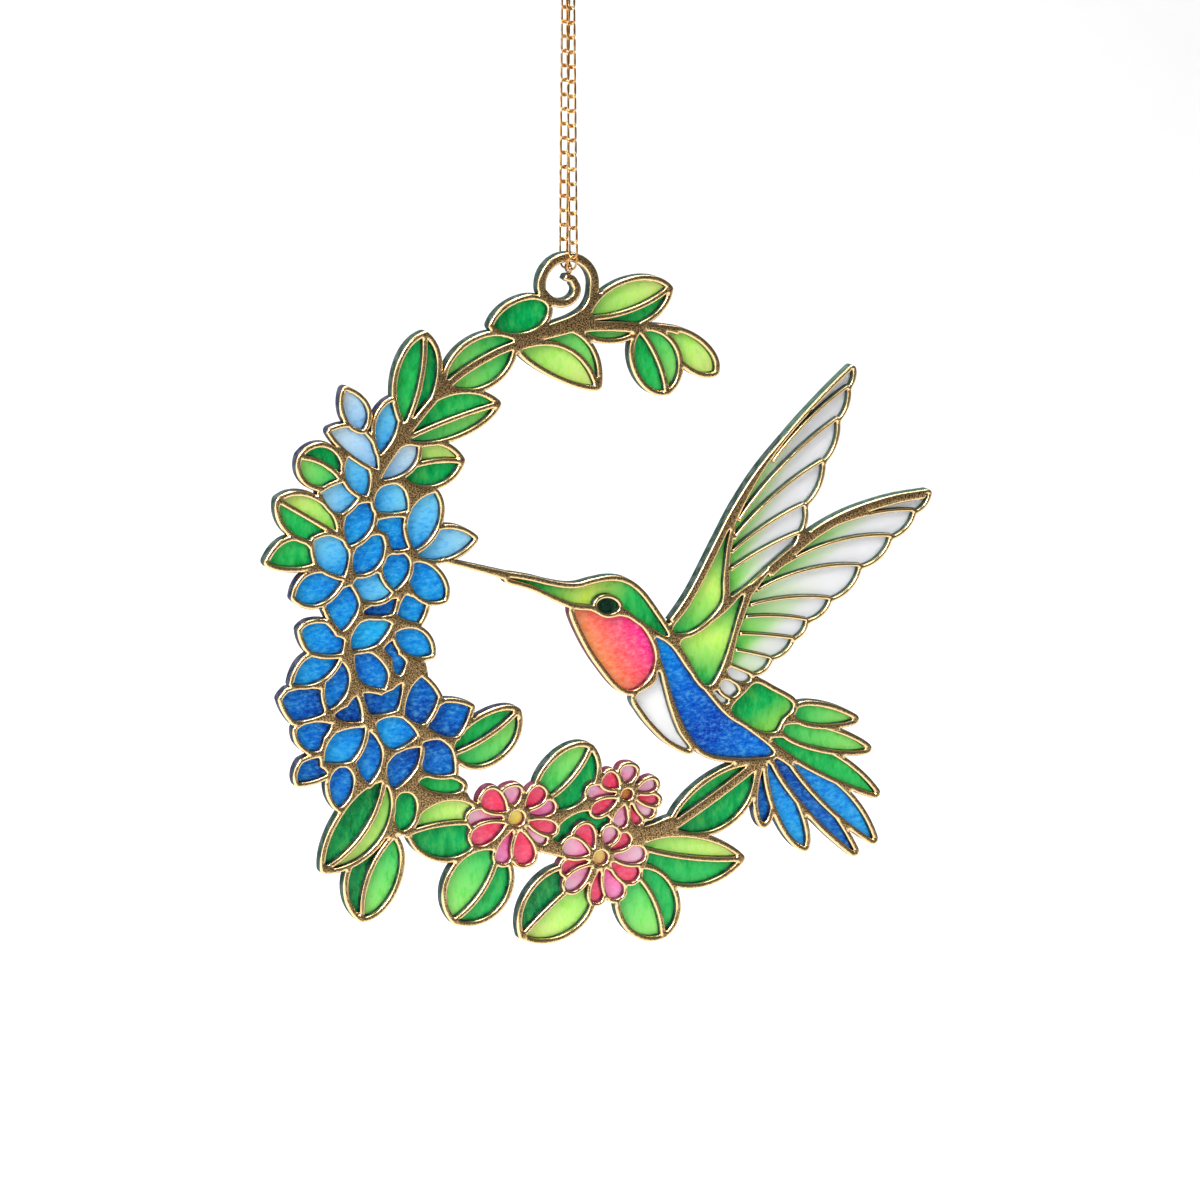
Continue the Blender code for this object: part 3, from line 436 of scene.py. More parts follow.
def blossoms():
    return [
        petal("frost blue", (-44.3, -32.2), (-47.5, -24.9), 1.6, 2.0, 0.1, 0.25),
        petal("sky", (-40.2, -37.5), (-37.8, -27.6), 1.9, 1.7, 0.3, 0.1),
        petal("frost blue", (-41.3, -40.7), (-50.5, -33), 0.5, 3.4, 0.25, 0.1),
        petal("frost blue", (-39.8, -43), (-32.6, -37), 1.8, 2.0, 0.3, 0.1),
        petal("sky", (-43.6, -46), (-46.8, -38.2), 2.1, 1.9, 0.2, 0.15),
        facet("ice blue", (-45.3, -47), (-52.8, -46.2), [
            (-53, -45.3), (-47.9, -43.4), (-45.1, -46.4), (-48.6, -49.7), (-50.3, -49.3)]),
        facet("sky", (-41.7, -48), (-34.8, -48.3), [
            (-41.5, -46.6), (-40, -44.9), (-37.1, -44.5), (-35.3, -46), (-34.6, -49.9),
            (-40.3, -50), (-41.4, -49)]),
        petal("azure", (-42.9, -48.4), (-46.9, -56.2), 2.1, 2.9, 0.1, 0.2),
        petal("sky", (-32.8, -58), (-28.8, -47.2), 3.2, 2.4, 0.2, 0.1),
        facet("azure", (-36.2, -58.3), (-38, -51.4), [
            (-41.2, -51.9), (-34.8, -51.7), (-34.5, -54.4), (-34.2, -57.7), (-37.8, -58.1),
            (-38.8, -54.6), (-40.9, -53.4)]),
        petal("ice blue", (-32, -59.2), (-20.6, -57), 3.2, 2.0, 0.1, 0.2),
        facet("sky", (-49.5, -62.3), (-53.6, -54.8), [
            (-54.6, -55.1), (-51.6, -54.4), (-48.3, -56.1), (-47.4, -58.9), (-48.5, -62.8),
            (-50.8, -62.1), (-53.9, -60)]),
        petal("azure", (-45.5, -62.2), (-40.6, -55.3), 2.5, 2.6, 0.1, 0.1),
        petal("azure", (-36.4, -59.2), (-37.3, -66), 2.1, 2.8, 0.0, 0.25),
        petal("azure", (-33.2, -61.6), (-27, -68.8), 2.1, 3.1, 0.05, 0.05),
        petal("azure", (-49.2, -64), (-58.4, -66.6), 2.4, 3.0, 0.3, 0.1),
        facet("azure", (-48.5, -65), (-49.2, -74.1), [
            (-52.2, -68.8), (-50.3, -66.5), (-47.2, -65.2), (-45.3, -69.2), (-46.4, -71.7),
            (-48.9, -74.4), (-51.1, -71.4)]),
        petal("sky", (-46, -64.8), (-38.6, -67), 2.8, 2.3, 0.05, 0.1),
        facet("deep blue", (-44.5, -70.7), (-37.2, -70), [
            (-44.1, -70.5), (-37.1, -68.4), (-38.1, -71.5), (-43.9, -71.2)]),
        facet("azure", (-35.8, -67.9), (-32.6, -73.2), [
            (-35.1, -67.9), (-30.7, -70.1), (-32.3, -73.7), (-36.9, -71.8)]),
        facet("azure", (-49, -77.6), (-57.5, -75), [
            (-57.5, -73.7), (-56.1, -72.7), (-52.6, -72.7), (-50.4, -75.5), (-48.6, -76.3),
            (-49.1, -79), (-54.8, -78.5), (-56.3, -77.2)]),
        facet("cyan", (-46.8, -77), (-39.1, -73.6), [
            (-46.9, -76.2), (-45, -73.1), (-41.4, -72.5), (-38.3, -73.6), (-41.4, -77.7),
            (-46.5, -78.5)]),
        petal("azure", (-36.9, -75.8), (-29.9, -80.4), 2.4, 1.9, 0.15, 0.15),
        facet("royal", (-38.7, -77.8), (-37.2, -84.4), [
            (-39.8, -78.6), (-37.8, -77.1), (-36.9, -80.2), (-35.2, -81.9), (-36.4, -84.6),
            (-37.4, -84.1), (-38, -80.8)]),
        petal("azure", (-50, -80.3), (-59, -84.6), 1.7, 2.8, 0.25, 0.2),
        petal("royal", (-49.3, -81.2), (-51.7, -90.3), 2.4, 1.6, 0.15, 0.2),
        facet("royal", (-46.2, -81), (-39.8, -87), [
            (-46.1, -79.4), (-42.6, -79.7), (-39.6, -83), (-39.1, -84.9), (-39.9, -87.1),
            (-43.3, -86.2), (-45.3, -84.5)]),
        facet("deep blue", (-52.8, -88.8), (-61.7, -89.5), [
            (-61.8, -87.9), (-60.5, -86.5), (-53.8, -86.4), (-53, -91.4), (-59.3, -92.5)]),
        facet("deep blue", (-47.6, -93.6), (-46.6, -87.9), [
            (-46, -88.4), (-44.9, -93.6), (-48.8, -93.3), (-50.6, -91.9), (-47.8, -90.5)]),
        facet("deep blue", (-43.8, -90), (-36.6, -88.9), [
            (-44.2, -87.9), (-40.6, -88.7), (-38, -87.7), (-36.1, -86.4), (-36.4, -89.3),
            (-37.3, -91.9), (-42.7, -92.3), (-43.5, -90.8)]),
        facet("deep blue", (-33, -95.2), (-32, -85.1), [
            (-34.1, -87.8), (-31.8, -85.4), (-28.2, -89.8), (-31, -95), (-32.2, -95.2),
            (-35.4, -92.8)]),
        facet("deep blue", (-29.5, -97.7), (-22.2, -93), [
            (-30.7, -95.4), (-28.8, -92.7), (-26.5, -91.2), (-21.1, -92.6), (-24, -98.3),
            (-26.5, -98.2)]),
        facet("royal", (-52.6, -95.9), (-58.6, -96), [
            (-58.7, -94.5), (-56.5, -93.4), (-51.4, -93.9), (-53.1, -96.5), (-54.1, -99.1),
            (-55.7, -99.2), (-58.3, -96.8)]),
        facet("azure", (-47.3, -94.7), (-50.6, -102.1), [
            (-52.8, -101.7), (-52.4, -98.7), (-50.4, -95.9), (-44.2, -95.2), (-45, -98.9),
            (-47.3, -102)]),
        facet("azure", (-33, -97.5), (-41.5, -95.6), [
            (-41.6, -94.4), (-39.7, -93.5), (-36.1, -93.8), (-32.8, -97.6), (-37.6, -100.2),
            (-39.8, -98.9)]),
        petal("royal", (-43.2, -96.4), (-43.4, -106.7), 2.4, 2.3, 0.25, 0.25),
        facet("deep blue", (-32.8, -100.2), (-38.3, -108.6), [
            (-39.1, -103.1), (-37, -101.1), (-32.2, -100.3), (-32.6, -103.1), (-33.4, -104.8),
            (-37.8, -108.6), (-39.1, -106.2)]),
        facet("deep blue", (-29.3, -99), (-28.4, -106.1), [
            (-31.4, -99.3), (-27.9, -99), (-25.4, -101.2), (-24.7, -106.2), (-28.8, -106.2),
            (-31.4, -105)]),
        facet("deep blue", (-52.7, -104.2), (-58.2, -103.5), [
            (-57.7, -101.7), (-54.2, -100.8), (-54, -102.7), (-52.4, -104.3), (-58.5, -105.6),
            (-58.7, -104)]),
        petal("royal", (-49, -103.5), (-49.7, -111.2), 2.1, 2.1, 0.0, 0.2),
    ]


def blossom_stems():
    """Gold behind the petals, so that no slit opens between them."""
    name = "glass_blossoms"
    runs = [[(-40, -41), (-42, -47), (-47.5, -63.5), (-47, -79.5), (-44, -94), (-42, -100)],
            [(-42, -47), (-36, -55), (-33.5, -59), (-37, -73.5), (-32, -84), (-33, -96),
             (-30.5, -107)],
            [(-47.5, -63.5), (-36, -67)], [(-47, -79.5), (-38, -75)],
            [(-47, -79.5), (-52, -90), (-51.5, -103)],
            [(-44, -94), (-52, -95)], [(-44, -87), (-33, -90)], [(-46, -56), (-54, -52.5)],
            [(-42, -100), (-42, -107), (-37, -111)], [(-42, -100), (-34, -98)],
            [(-37.5, -86), (-34.6, -85.2), (-33.4, -82)]]
    return [gold_line(name, run, BLOSSOM_STEM) for run in runs]


def lower_left_leaves():
    name = "glass_lower_left_leaves"
    return [
        leaf(name, ("green", "fresh"), (-24.3, -102), (-11.0, -94.4), 3.1, 5.8, -0.9, 0.0, 0.12),
        blade_pane(name, "green", (-32.3, -107.4), (-22.9, -109.4), 1.4, 1.7, 0.1, 0.0),
        leaf(name, ("lime", "dark"), (-40, -107), (-52.9, -124.4), 6.1, 3.5, 2.6, 0.15, 0.25),
        blade_pane(name, "deep", (-35.6, -109.7), (-36.2, -117.6), 2.8, 1.9, -0.05, 0.1),
        leaf(name, ("lime", "deep"), (-34.2, -118.2), (-19, -117.5), 5.6, 6.3, 0.9, 0.15, 0.0),
        leaf(name, ("fresh", "dark"), (-38.4, -119), (-45, -135.4), 4.2, 5.9, -1.9, 0.15, 0.15),
        leaf(name, ("green", "fresh"), (-15, -124), (-24.4, -137.6), 6.6, 6.2, 1.7, 0.1, 0.12),
        gold_line(name, [(-38, -110), (-35, -118), (-30, -111), (-22, -112)], LEAF_STEM),
    ]


def lower_right_leaves():
    name = "glass_lower_right_leaves"
    return [
        leaf(name, ("green", "fresh"), (15, -130.5), (21.8, -144.6), 5.8, 6.0, 1.5, 0.1, 0.05),
        leaf(name, ("lime", "green"), (16.5, -125.5), (39.2, -129.8), 3.2, 6.6, -1.0, 0.2, 0.25),
        leaf(name, ("green", "deep"), (24, -121.5), (42.3, -109.9), 3.2, 6.6, -0.3, 0.2, 0.2, STEM),
        gold_line(name, [(13, -122.7), (19, -121.9), (25, -120.5), (31, -122.9)], LEAF_STEM),
        gold_line(name, [(18, -129), (17, -131), (13, -134)], LEAF_STEM),
    ]


def flowers():
    a = flower("glass_flower_left", (-10.9, -117.0), 1.6,
               ("yellow", "rose", "blush", "rose", "pink", "rose", "pale pink", "rose", "pink",
                "rose", "blush"), (
        (142, 9.2, 4.3), (101, 6.8, 3.9), (45, 8.2, 3.4), (14, 8.6, 3.0), (-20, 9.2, 2.6),
        (-42, 8.6, 2.2), (-78, 10.2, 4.4), (-111, 10.0, 3.4), (-158, 10.6, 4.0), (176, 10.6, 3.6)))
    b = flower("glass_flower_middle", (7.8, -127.0), 1.5,
               ("amber", "blush", "rose", "blush", "rose", "pale pink", "rose", "pink", "rose",
                "blush", "rose"), (
        (157, 8.8, 3.7), (125, 8.4, 4.2), (66, 6.8, 3.2), (33, 7.6, 3.0), (0, 9.9, 3.6),
        (-30, 9.6, 3.9), (-66, 9.9, 3.8), (-96, 9.7, 2.8), (-141, 9.7, 3.3), (-168, 8.8, 3.2)))
    c = flower("glass_flower_right", (13.7, -113.8), 1.15,
               ("orange", "rose", "blush", "pale pink", "rose", "pale pink", "rose", "blush",
                "rose", "blush"), (
        (139, 6.6, 3.2), (86, 6.1, 3.4), (16, 6.8, 2.4), (-16, 7.3, 1.9), (-40, 7.4, 2.3),
        (-68, 7.1, 2.0), (-105, 7.2, 3.0), (-158, 8.3, 2.8), (172, 8.8, 2.9)))
    return a + b + c


def bridge_leaves():
    name = "glass_leaf_between_flowers"
    return [
        leaf(name, ("fresh", "deep"), (-5, -114), (5.4, -103.5), 4.4, 6.3, -1.3, 0.0, 0.08),
        blade_pane(name, "deep", (-2.8, -122), (10, -119), 3.6, 3.0),
    ]


def lower_middle_leaf():
    name = "glass_lower_middle_leaf"
    return [
        leaf(name, ("lime", "dark"), (4, -131), (-9.4, -142.2), 6.7, 6.0, -0.5, 0.0, 0.2),
        gold_line(name, [(-8, -122.8), (-4, -124), (1, -125.5)], LEAF_STEM),
    ]


def bird_front():
    """Head, bill, eye, throat and belly."""
    head = smooth([(-12.4, -65.7), (-8, -66.6), (-4, -67.8), (0, -68.7), (3, -68.8), (6, -68.2),
                   (10, -67.8), (13.4, -68.6), (16.5, -71), (19.5, -75), (22.8, -80.2), (20, -78.8),
                   (16, -75.9), (12.8, -73.6), (9, -73), (5, -72.5), (2, -72), (-2, -70.2),
                   (-7, -67.6)], True)
    eye = blade((7.0, -72.4), (11.9, -73.5), 1.5, 1.7, 0.1, 0.15)
    throat = smooth([(2.0, -73.4), (5.5, -73.9), (9, -75.6), (12.5, -75.5), (16, -77.2),
                     (18.8, -81), (19.9, -85), (18.8, -88.6), (15.4, -91.3), (12.3, -90.3),
                     (8.8, -86.3), (5, -80.5)], True)
    belly = smooth([(20.8, -87.8), (19.8, -90.4), (15.9, -92.8), (17.2, -95.8), (20, -99.4),
                    (23.5, -102.8), (27.7, -105), (25.2, -101.2), (23.2, -96), (21.8, -91)], True)
    return [
        pane("glass_head", tint((7, -72.4), (11.9, -73.5), "ink"), eye, FINE_LINE),
        pane("glass_head", tint((-13, -66), (22, -79), "head"), head),
        gold_line("glass_head", [(-10, -66.2), (-16, -64.2), (-27, -60.9)], STEM, FINE_LINE),
        pane("glass_throat", tint((5, -86), (17, -79), "throat"), throat),
        pane("glass_belly", tint((16, -90), (22, -100), "white"), belly),
    ]


def bird_back():
    """Blue back, the two shoulders and the rump."""
    back = smooth([(19.8, -80.7), (23.5, -82.8), (27.2, -88), (31.5, -93.3), (36, -98.5),
                   (41, -102), (46.7, -106.9), (44.5, -108), (37, -107.5), (31.2, -105.7),
                   (27.4, -101.2), (24.4, -94.5), (22, -87)], True)
    upper = smooth([(24, -79), (27.6, -74.4), (31.4, -68.2), (34.2, -63), (36.6, -58.5),
                    (35.9, -62.5), (35.2, -69), (34.8, -74), (31, -78), (27, -79.9)], True)
    lower = smooth([(25.8, -81.9), (30.5, -79.7), (36, -76), (39.7, -72.7), (38.5, -77),
                    (36.2, -84.5), (34, -89.5), (32, -91.6), (29.8, -89.6), (27.6, -85.6)], True)
    rump = smooth([(37.3, -97.1), (40.4, -93.8), (42.8, -92), (46.5, -93.9), (50.6, -96.4),
                   (51, -98.2), (48.9, -100.2), (47.4, -102.5), (44.6, -102.5),
                   (40.6, -100.2)], True)
    return [
        pane("glass_shoulders", tint((26, -79), (36, -60), "shoulder"), upper),
        pane("glass_shoulders", tint((36, -73), (31, -90), "shoulder"), lower),
        pane("glass_back", tint((21, -82), (44, -107), "back"), back),
        pane("glass_rump_and_green_tail", tint((42, -93), (47, -102), "rump"), rump),
    ]


def tail():
    green, blue = "glass_rump_and_green_tail", "glass_blue_tail"
    feathers = [
        (green, "fresh", (51.8, -98.8), (65.2, -101.4), 1.7, 1.9, 0.0, 0.4),
        (green, "fresh", (48.9, -102), (68.2, -108), 1.8, 2.1, 0.05, 0.25),
        (green, "green", (46.4, -104.2), (70.3, -117.9), 2.9, 1.2, 0.2, 0.3),
        (blue, "azure", (51.5, -110), (69.9, -128), 3.0, 1.2, 0.3, 0.3),
        (blue, "deep blue", (46.8, -108.2), (65.5, -130.3), 1.9, 1.6, 0.2, 0.35),
        (blue, "azure", (45.6, -109.4), (54.1, -128.3), 2.0, 2.3, 0.3, 0.15),
        (blue, "deep blue", (44.7, -110), (44.7, -122.4), 1.6, 1.3, 0.35, 0.15)]
    return [blade_pane(*feather) for feather in feathers] + [
        gold(blue, stroke([(43, -108.8), (48, -108.3)], BLOSSOM_STEM))]


def wings():
    upper = wing("glass_upper_wing", tint((36, -70), (53, -44), "feather"),
                 [(37.4, -59.5), (38.6, -56), (43.5, -47.6), (50, -39.3), (58, -31.4),
                  (64.2, -25.9)],
                 [((46.3, -44.6), (63.0, -29.7), 1.0), ((38.6, -56.8), (60.6, -36.5), 1.5),
                  ((37.5, -60.6), (57.4, -45.2), 1.3), ((37.0, -63.5), (53.2, -54.2), 0.8),
                  ((36.8, -67.2), (52.2, -60.2), 0.6), ((36.7, -72.5), (45, -67), 0)],
                 [(41, -70.3), (36.9, -72.9), (36.8, -66)], 0.13)
    lower = wing("glass_lower_wing", tint((38, -80), (56, -76), "feather"),
                 [(41.8, -73.0), (47, -67.0), (54.5, -61.2), (63, -57.0), (73, -54.4),
                  (81.8, -53.5)],
                 [((54.0, -61.9), (78.4, -57.0), 1.9), ((45.6, -68.9), (73.0, -62.2), 2.6),
                  ((42.8, -72.0), (66.0, -68.1), 1.8), ((41.4, -75.0), (59.3, -74.7), 0.9),
                  ((40.3, -77.5), (54.0, -78.9), 0.5), ((39.0, -81.0), (50.9, -82.7), 0.2),
                  ((38.0, -84.4), (45.9, -86.5), 0.1), ((37.0, -87.3), (42.6, -89.6), 0)],
                 [(37.3, -87.2), (38.6, -81.5), (40.6, -76)], 0.16)
    name = "glass_lower_wing"
    leading_edge = [(45.6, -68.2), (54.5, -61.6), (63, -57.4), (73, -54.8), (81, -53.9)]
    return [gold_line(name, leading_edge, 2.5, 1.3), upper, lower,
            *(blade_pane(name, "white", *shape, line=FINE_LINE) for shape in (
                ((36.4, -88.6), (41.4, -91.0), 1.2, 1.3, 0, 0),
                ((34.8, -91.3), (38.6, -94.0), 1.4, 1.3, 0, 0),
                ((33.3, -93.0), (36.3, -95.6), 0.9, 0.9, 0.1, 0))),
            gold_line(name, [(36.8, -75), (44, -68.6), (53.6, -60.2)], LEAF_STEM),
            gold_line(name, [(36.4, -90), (37.5, -93), (36.5, -97)], LEAF_STEM)]


def all_motifs():
    front_edge = stroke(smooth([(24, -77.6), (28.4, -71.4), (34, -61.0), (38.2, -53.4),
                                (44.2, -45.0), (54, -34.6)]), STEM, FINE_LINE)
    return (branch() + flowers() + bird_front() + bird_back() + blossoms() + left_leaves()
            + lower_left_leaves() + bridge_leaves() + lower_middle_leaf() + lower_right_leaves()
            + tail() + wings() + [gold("glass_shoulders", front_edge)] + blossom_stems())


# The motifs laid over one another and cut into leading and glass

def triangulated(points, faces):
    """Triangles that keep the faces' edges: corners, triangles, their first points and faces."""
    corners, _, triangles, sources, _, inside = geometry.delaunay_2d_cdt(points, [], faces, 1, WELD)
    return corners, triangles, sources, inside


def overlay(motifs, inner):
    """Triangles of the whole drawing, each with its motif's number and whether it is glass."""
    points, faces, roles = [], [], []
    for number, item in enumerate(motifs):
        for role in ("body", "glass", "bars"):
            for loop in item[role]:
                loop = anticlockwise(loop)
                faces.append(list(range(len(points), len(points) + len(loop))))
                points += [Vector(p) for p in loop]
                roles.append((number, role))
    points += inner
    verts, triangles, _, inside = triangulated(points, faces)
    kept, owner, glazed = [], [], []
    for triangle, sources in zip(triangles, inside):
        found = [roles[s] for s in sources]
        bodies = [number for number, role in found if role == "body"]
        if not bodies:
            continue
        first = min(bodies)
        kept.append(tuple(triangle))
        owner.append(first)
        glazed.append((first, "glass") in found and (first, "bars") not in found)
    return verts, kept, owner, glazed


def islands(triangles, same):
    """Groups of triangle numbers joined across an edge wherever same says so."""
    sides = {}
    for t, triangle in enumerate(triangles):
        for k in range(3):
            sides.setdefault(frozenset((triangle[k], triangle[(k + 1) % 3])), []).append(t)
    links = [[] for _ in triangles]
    for pair in sides.values():
        if len(pair) == 2 and same(pair[0], pair[1]):
            links[pair[0]].append(pair[1])
            links[pair[1]].append(pair[0])
    seen, groups = set(), []
    for start in range(len(triangles)):
        if start in seen:
            continue
        group, queue = [], [start]
        seen.add(start)
        while queue:
            t = queue.pop()
            group.append(t)
            for other in links[t]:
                if other not in seen:
                    seen.add(other)
                    queue.append(other)
        groups.append(group)
    return groups, sides


def triangle_area(verts, triangle):
    a, b, c = (verts[i] for i in triangle)
    return abs((b - a).cross(c - a)) / 2


def group_area(verts, triangles, group):
    return sum(triangle_area(verts, triangles[t]) for t in group)


def border_loops(verts, triangles, chosen):
    """Closed loops round the chosen triangles, outer ones anticlockwise."""
    following = {}
    edges = set()
    for t in chosen:
        a, b, c = triangles[t]
        if (verts[b] - verts[a]).cross(verts[c] - verts[a]) < 0:
            b, c = c, b
        edges |= {(a, b), (b, c), (c, a)}
    border = [(a, b) for a, b in edges if (b, a) not in edges]
    for a, b in border:
        following.setdefault(a, []).append(b)
    loops = []
    for a in sorted(following):
        while following[a]:
            loop = [a]
            here = following[a].pop()
            came = a
            while here != a:
                loop.append(here)
                choices = following[here]
                if len(choices) > 1:
                    back = verts[came] - verts[here]
                    choices.sort(key=lambda n: (math.atan2(*(verts[n] - verts[here]).yx)
                                                - math.atan2(*back.yx)) % (2 * math.pi))
                    nxt = choices.pop(0)
                else:
                    nxt = choices.pop()
                came, here = here, nxt
            loops.append(loop)
    return loops


def raster(step):
    """Points of a triangular net over the whole drawing."""
    rows = int(148 / (step * 0.87)) + 2
    return [Vector((-66 + step * (i + 0.5 * (j % 2)), 2 - step * 0.87 * j))
            for j in range(rows) for i in range(int(152 / step))]


class Drawing:
    """The drawing cut into leading and glass, in millimetres."""

    def __init__(self):
        motifs = all_motifs()
        verts, triangles, owner, glazed = overlay(motifs, raster(GLASS_NET))
        self.fill_small_gaps(verts, triangles, owner, glazed)
        panes, _ = islands(triangles, lambda a, b: glazed[a] == glazed[b]
                           and (not glazed[a] or owner[a] == owner[b]))
        for group in panes:
            if glazed[group[0]] and group_area(verts, triangles, group) < SMALLEST_PANE:
                for t in group:
                    glazed[t] = False
        self.motifs, self.verts, self.triangles = motifs, verts, triangles
        self.owner, self.glazed = owner, glazed
        self.sheet_of = [motifs[o]["sheet"] for o in owner]
        self.feathers = self.feather_lines(panes)
        self.join_loose_bits()
        gold = [t for t in range(len(triangles)) if not glazed[t]]
        self.rims = {i for t in gold for i in triangles[t]}
        self.gold_loops = border_loops(verts, triangles, gold)

    def fill_small_gaps(self, verts, triangles, owner, glazed):
        """Gold takes the smallest gaps between the motifs."""
        beside = {}
        for t, (a, b, c) in enumerate(triangles):
            for i in (a, b, c):
                beside[i] = owner[t]
        for loop in border_loops(verts, triangles, range(len(triangles))):
            size = area([tuple(verts[i]) for i in loop])
            if -SMALLEST_GAP < size < 0:
                for a, b, c in geometry.tessellate_polygon([[verts[i].to_3d() for i in loop]]):
                    triangles.append((loop[a], loop[b], loop[c]))
                    owner.append(beside[loop[a]])
                    glazed.append(False)

    def join_loose_bits(self):
        """A bit of a sheet cut off from the rest of it joins its biggest neighbour."""
        names, verts, triangles = self.sheet_of, self.verts, self.triangles
        groups, sides = islands(triangles, lambda a, b: names[a] == names[b])
        groups.sort(key=lambda g: -group_area(verts, triangles, g))
        biggest_seen = set()
        for group in groups:
            name = names[group[0]]
            if name not in biggest_seen:
                biggest_seen.add(name)
                continue
            members, votes = set(group), {}
            for t in group:
                for k in range(3):
                    for other in sides[frozenset((triangles[t][k], triangles[t][(k + 1) % 3]))]:
                        if other not in members:
                            votes[names[other]] = votes.get(names[other], 0) + 1
            if votes:
                winner = max(sorted(votes), key=votes.get)
                for t in group:
                    names[t] = winner

    def feather_lines(self, panes):
        """Root and tip of the feather that each of the wings' triangles belongs to."""
        found = {}
        for group in panes:
            colours = self.motifs[self.owner[group[0]]]["colours"]
            if colours and colours["sides"][0] == "feather" and self.glazed[group[0]]:
                corners = [self.verts[i] for t in group for i in self.triangles[t]]
                root = min(corners, key=lambda p: p.x + 0.4 * p.y)
                tip = max(corners, key=lambda p: (p - root).length)
                found.update((t, (root, tip)) for t in group)
        return found

    def leafy(self, t):
        """1 where triangle t is a green leaf's, or else 0."""
        colours = self.motifs[self.owner[t]]["colours"]
        return int(bool(colours) and colours["sides"][0] in LEAF_TINTS)

    def colour(self, t, i, middle):
        """Linear colour of the glass at corner i of triangle t, with painted shade along the gold.
        """
        x, z = self.verts[i]
        item = self.motifs[self.owner[t]]
        if item["colours"] is None:
            return linear(EDGES.get(self.sheet_of[t], LEAF_EDGE))
        spec = item["colours"]
        (ax, az), (bx, bz) = spec["start"], spec["end"]
        dx, dz = bx - ax, bz - az
        size = dx * dx + dz * dz
        along = ((middle[0] - ax) * dx + (middle[1] - az) * dz) / size
        off = ((middle[1] - az) * dx - (middle[0] - ax) * dz) / math.sqrt(size)
        name = spec["sides"][0 if off > spec["bow"] * 4 * along * (1 - along) else 1]
        stops = [linear(code) for code in TINTS[name]]
        place = ((x - ax) * dx + (z - az) * dz) / size
        if t in self.feathers:
            # a feather is green at its root and along its upper edge, and white at its tip
            root, tip = self.feathers[t]
            line, reach = tip - root, Vector((x, z)) - root
            under = (line.y * reach.x - line.x * reach.y) / line.length
            place = 1.1 * reach.dot(line) / line.length_squared
            place += 0.16 * min(max(under + 1.2, 0.0), 3.0)
        place = min(max(place, 0.0), 1.0) * (len(stops) - 1)
        k = min(int(place), len(stops) - 2)
        found = [p + (q - p) * (place - k) for p, q in zip(stops[k], stops[k + 1])]
        if not self.glazed[t]:
            return [c * COVERED_SHADE for c in found]
        if name == "feather":
            return found
        # Painted shade: glass next to the gold is darkened, standing in for the shade that the
        # gold's walls cast into the sunken pane
        if i in self.rims:
            return [c * (1 - RIM_PAINTED_SHADE + RIM_PAINTED_SHADE * c) for c in found]
        return [min(c * PANE_SHADE, 1.0) for c in found]


def resampled(loop, step):
    """The loop with points about a step apart, keeping its corners."""
    out = []
    count = len(loop)
    for i in range(count):
        (px, pz), (ax, az), (bx, bz) = loop[i - 1], loop[i], loop[(i + 1) % count]
        turn = abs(wrapped(math.atan2(bz - az, bx - ax) - math.atan2(az - pz, ax - px)))
        if out and math.dist(out[-1], (ax, az)) < step * 0.5 and turn < 0.5:
            continue
        out.append((ax, az))
        pieces = int(math.dist((ax, az), (bx, bz)) / step + 0.4)
        out += [(ax + (bx - ax) * k / pieces, az + (bz - az) * k / pieces)
                for k in range(1, pieces)]
    return out


def edge_finder(loops, spacing):
    """Function that gives the distance from a point to the nearest of the loops."""
    samples = []
    for loop in loops:
        for (ax, az), (bx, bz) in zip(loop, loop[1:] + loop[:1]):
            pieces = max(1, int(math.dist((ax, az), (bx, bz)) / spacing))
            samples += [(ax + (bx - ax) * k / pieces, az + (bz - az) * k / pieces)
                        for k in range(pieces)]
    tree = kdtree.KDTree(len(samples))
    for i, (x, z) in enumerate(samples):
        tree.insert((x, z, 0.0), i)
    tree.balance()
    slack = spacing * spacing / 12

    def distance(x, z):
        found = tree.find((x, z, 0.0))[2]
        return math.sqrt(max(found * found - slack, 0.0))
    return distance


def offset_points(loop, amount):
    """Points at an amount to the left of each corner of the loop."""
    out = []
    count = len(loop)
    for i in range(count):
        (px, pz), (ax, az), (bx, bz) = loop[i - 1], loop[i], loop[(i + 1) % count]
        before = Vector((ax - px, az - pz)).normalized()
        after = Vector((bx - ax, bz - az)).normalized()
        side = Vector((-before.y - after.y, before.x + after.x))
        if side.length < 0.3:
            continue
        side.normalize()
        reach = amount / max(side.dot(Vector((-before.y, before.x))), 0.35)
        out.append((ax + side.x * reach, az + side.y * reach))
    return out


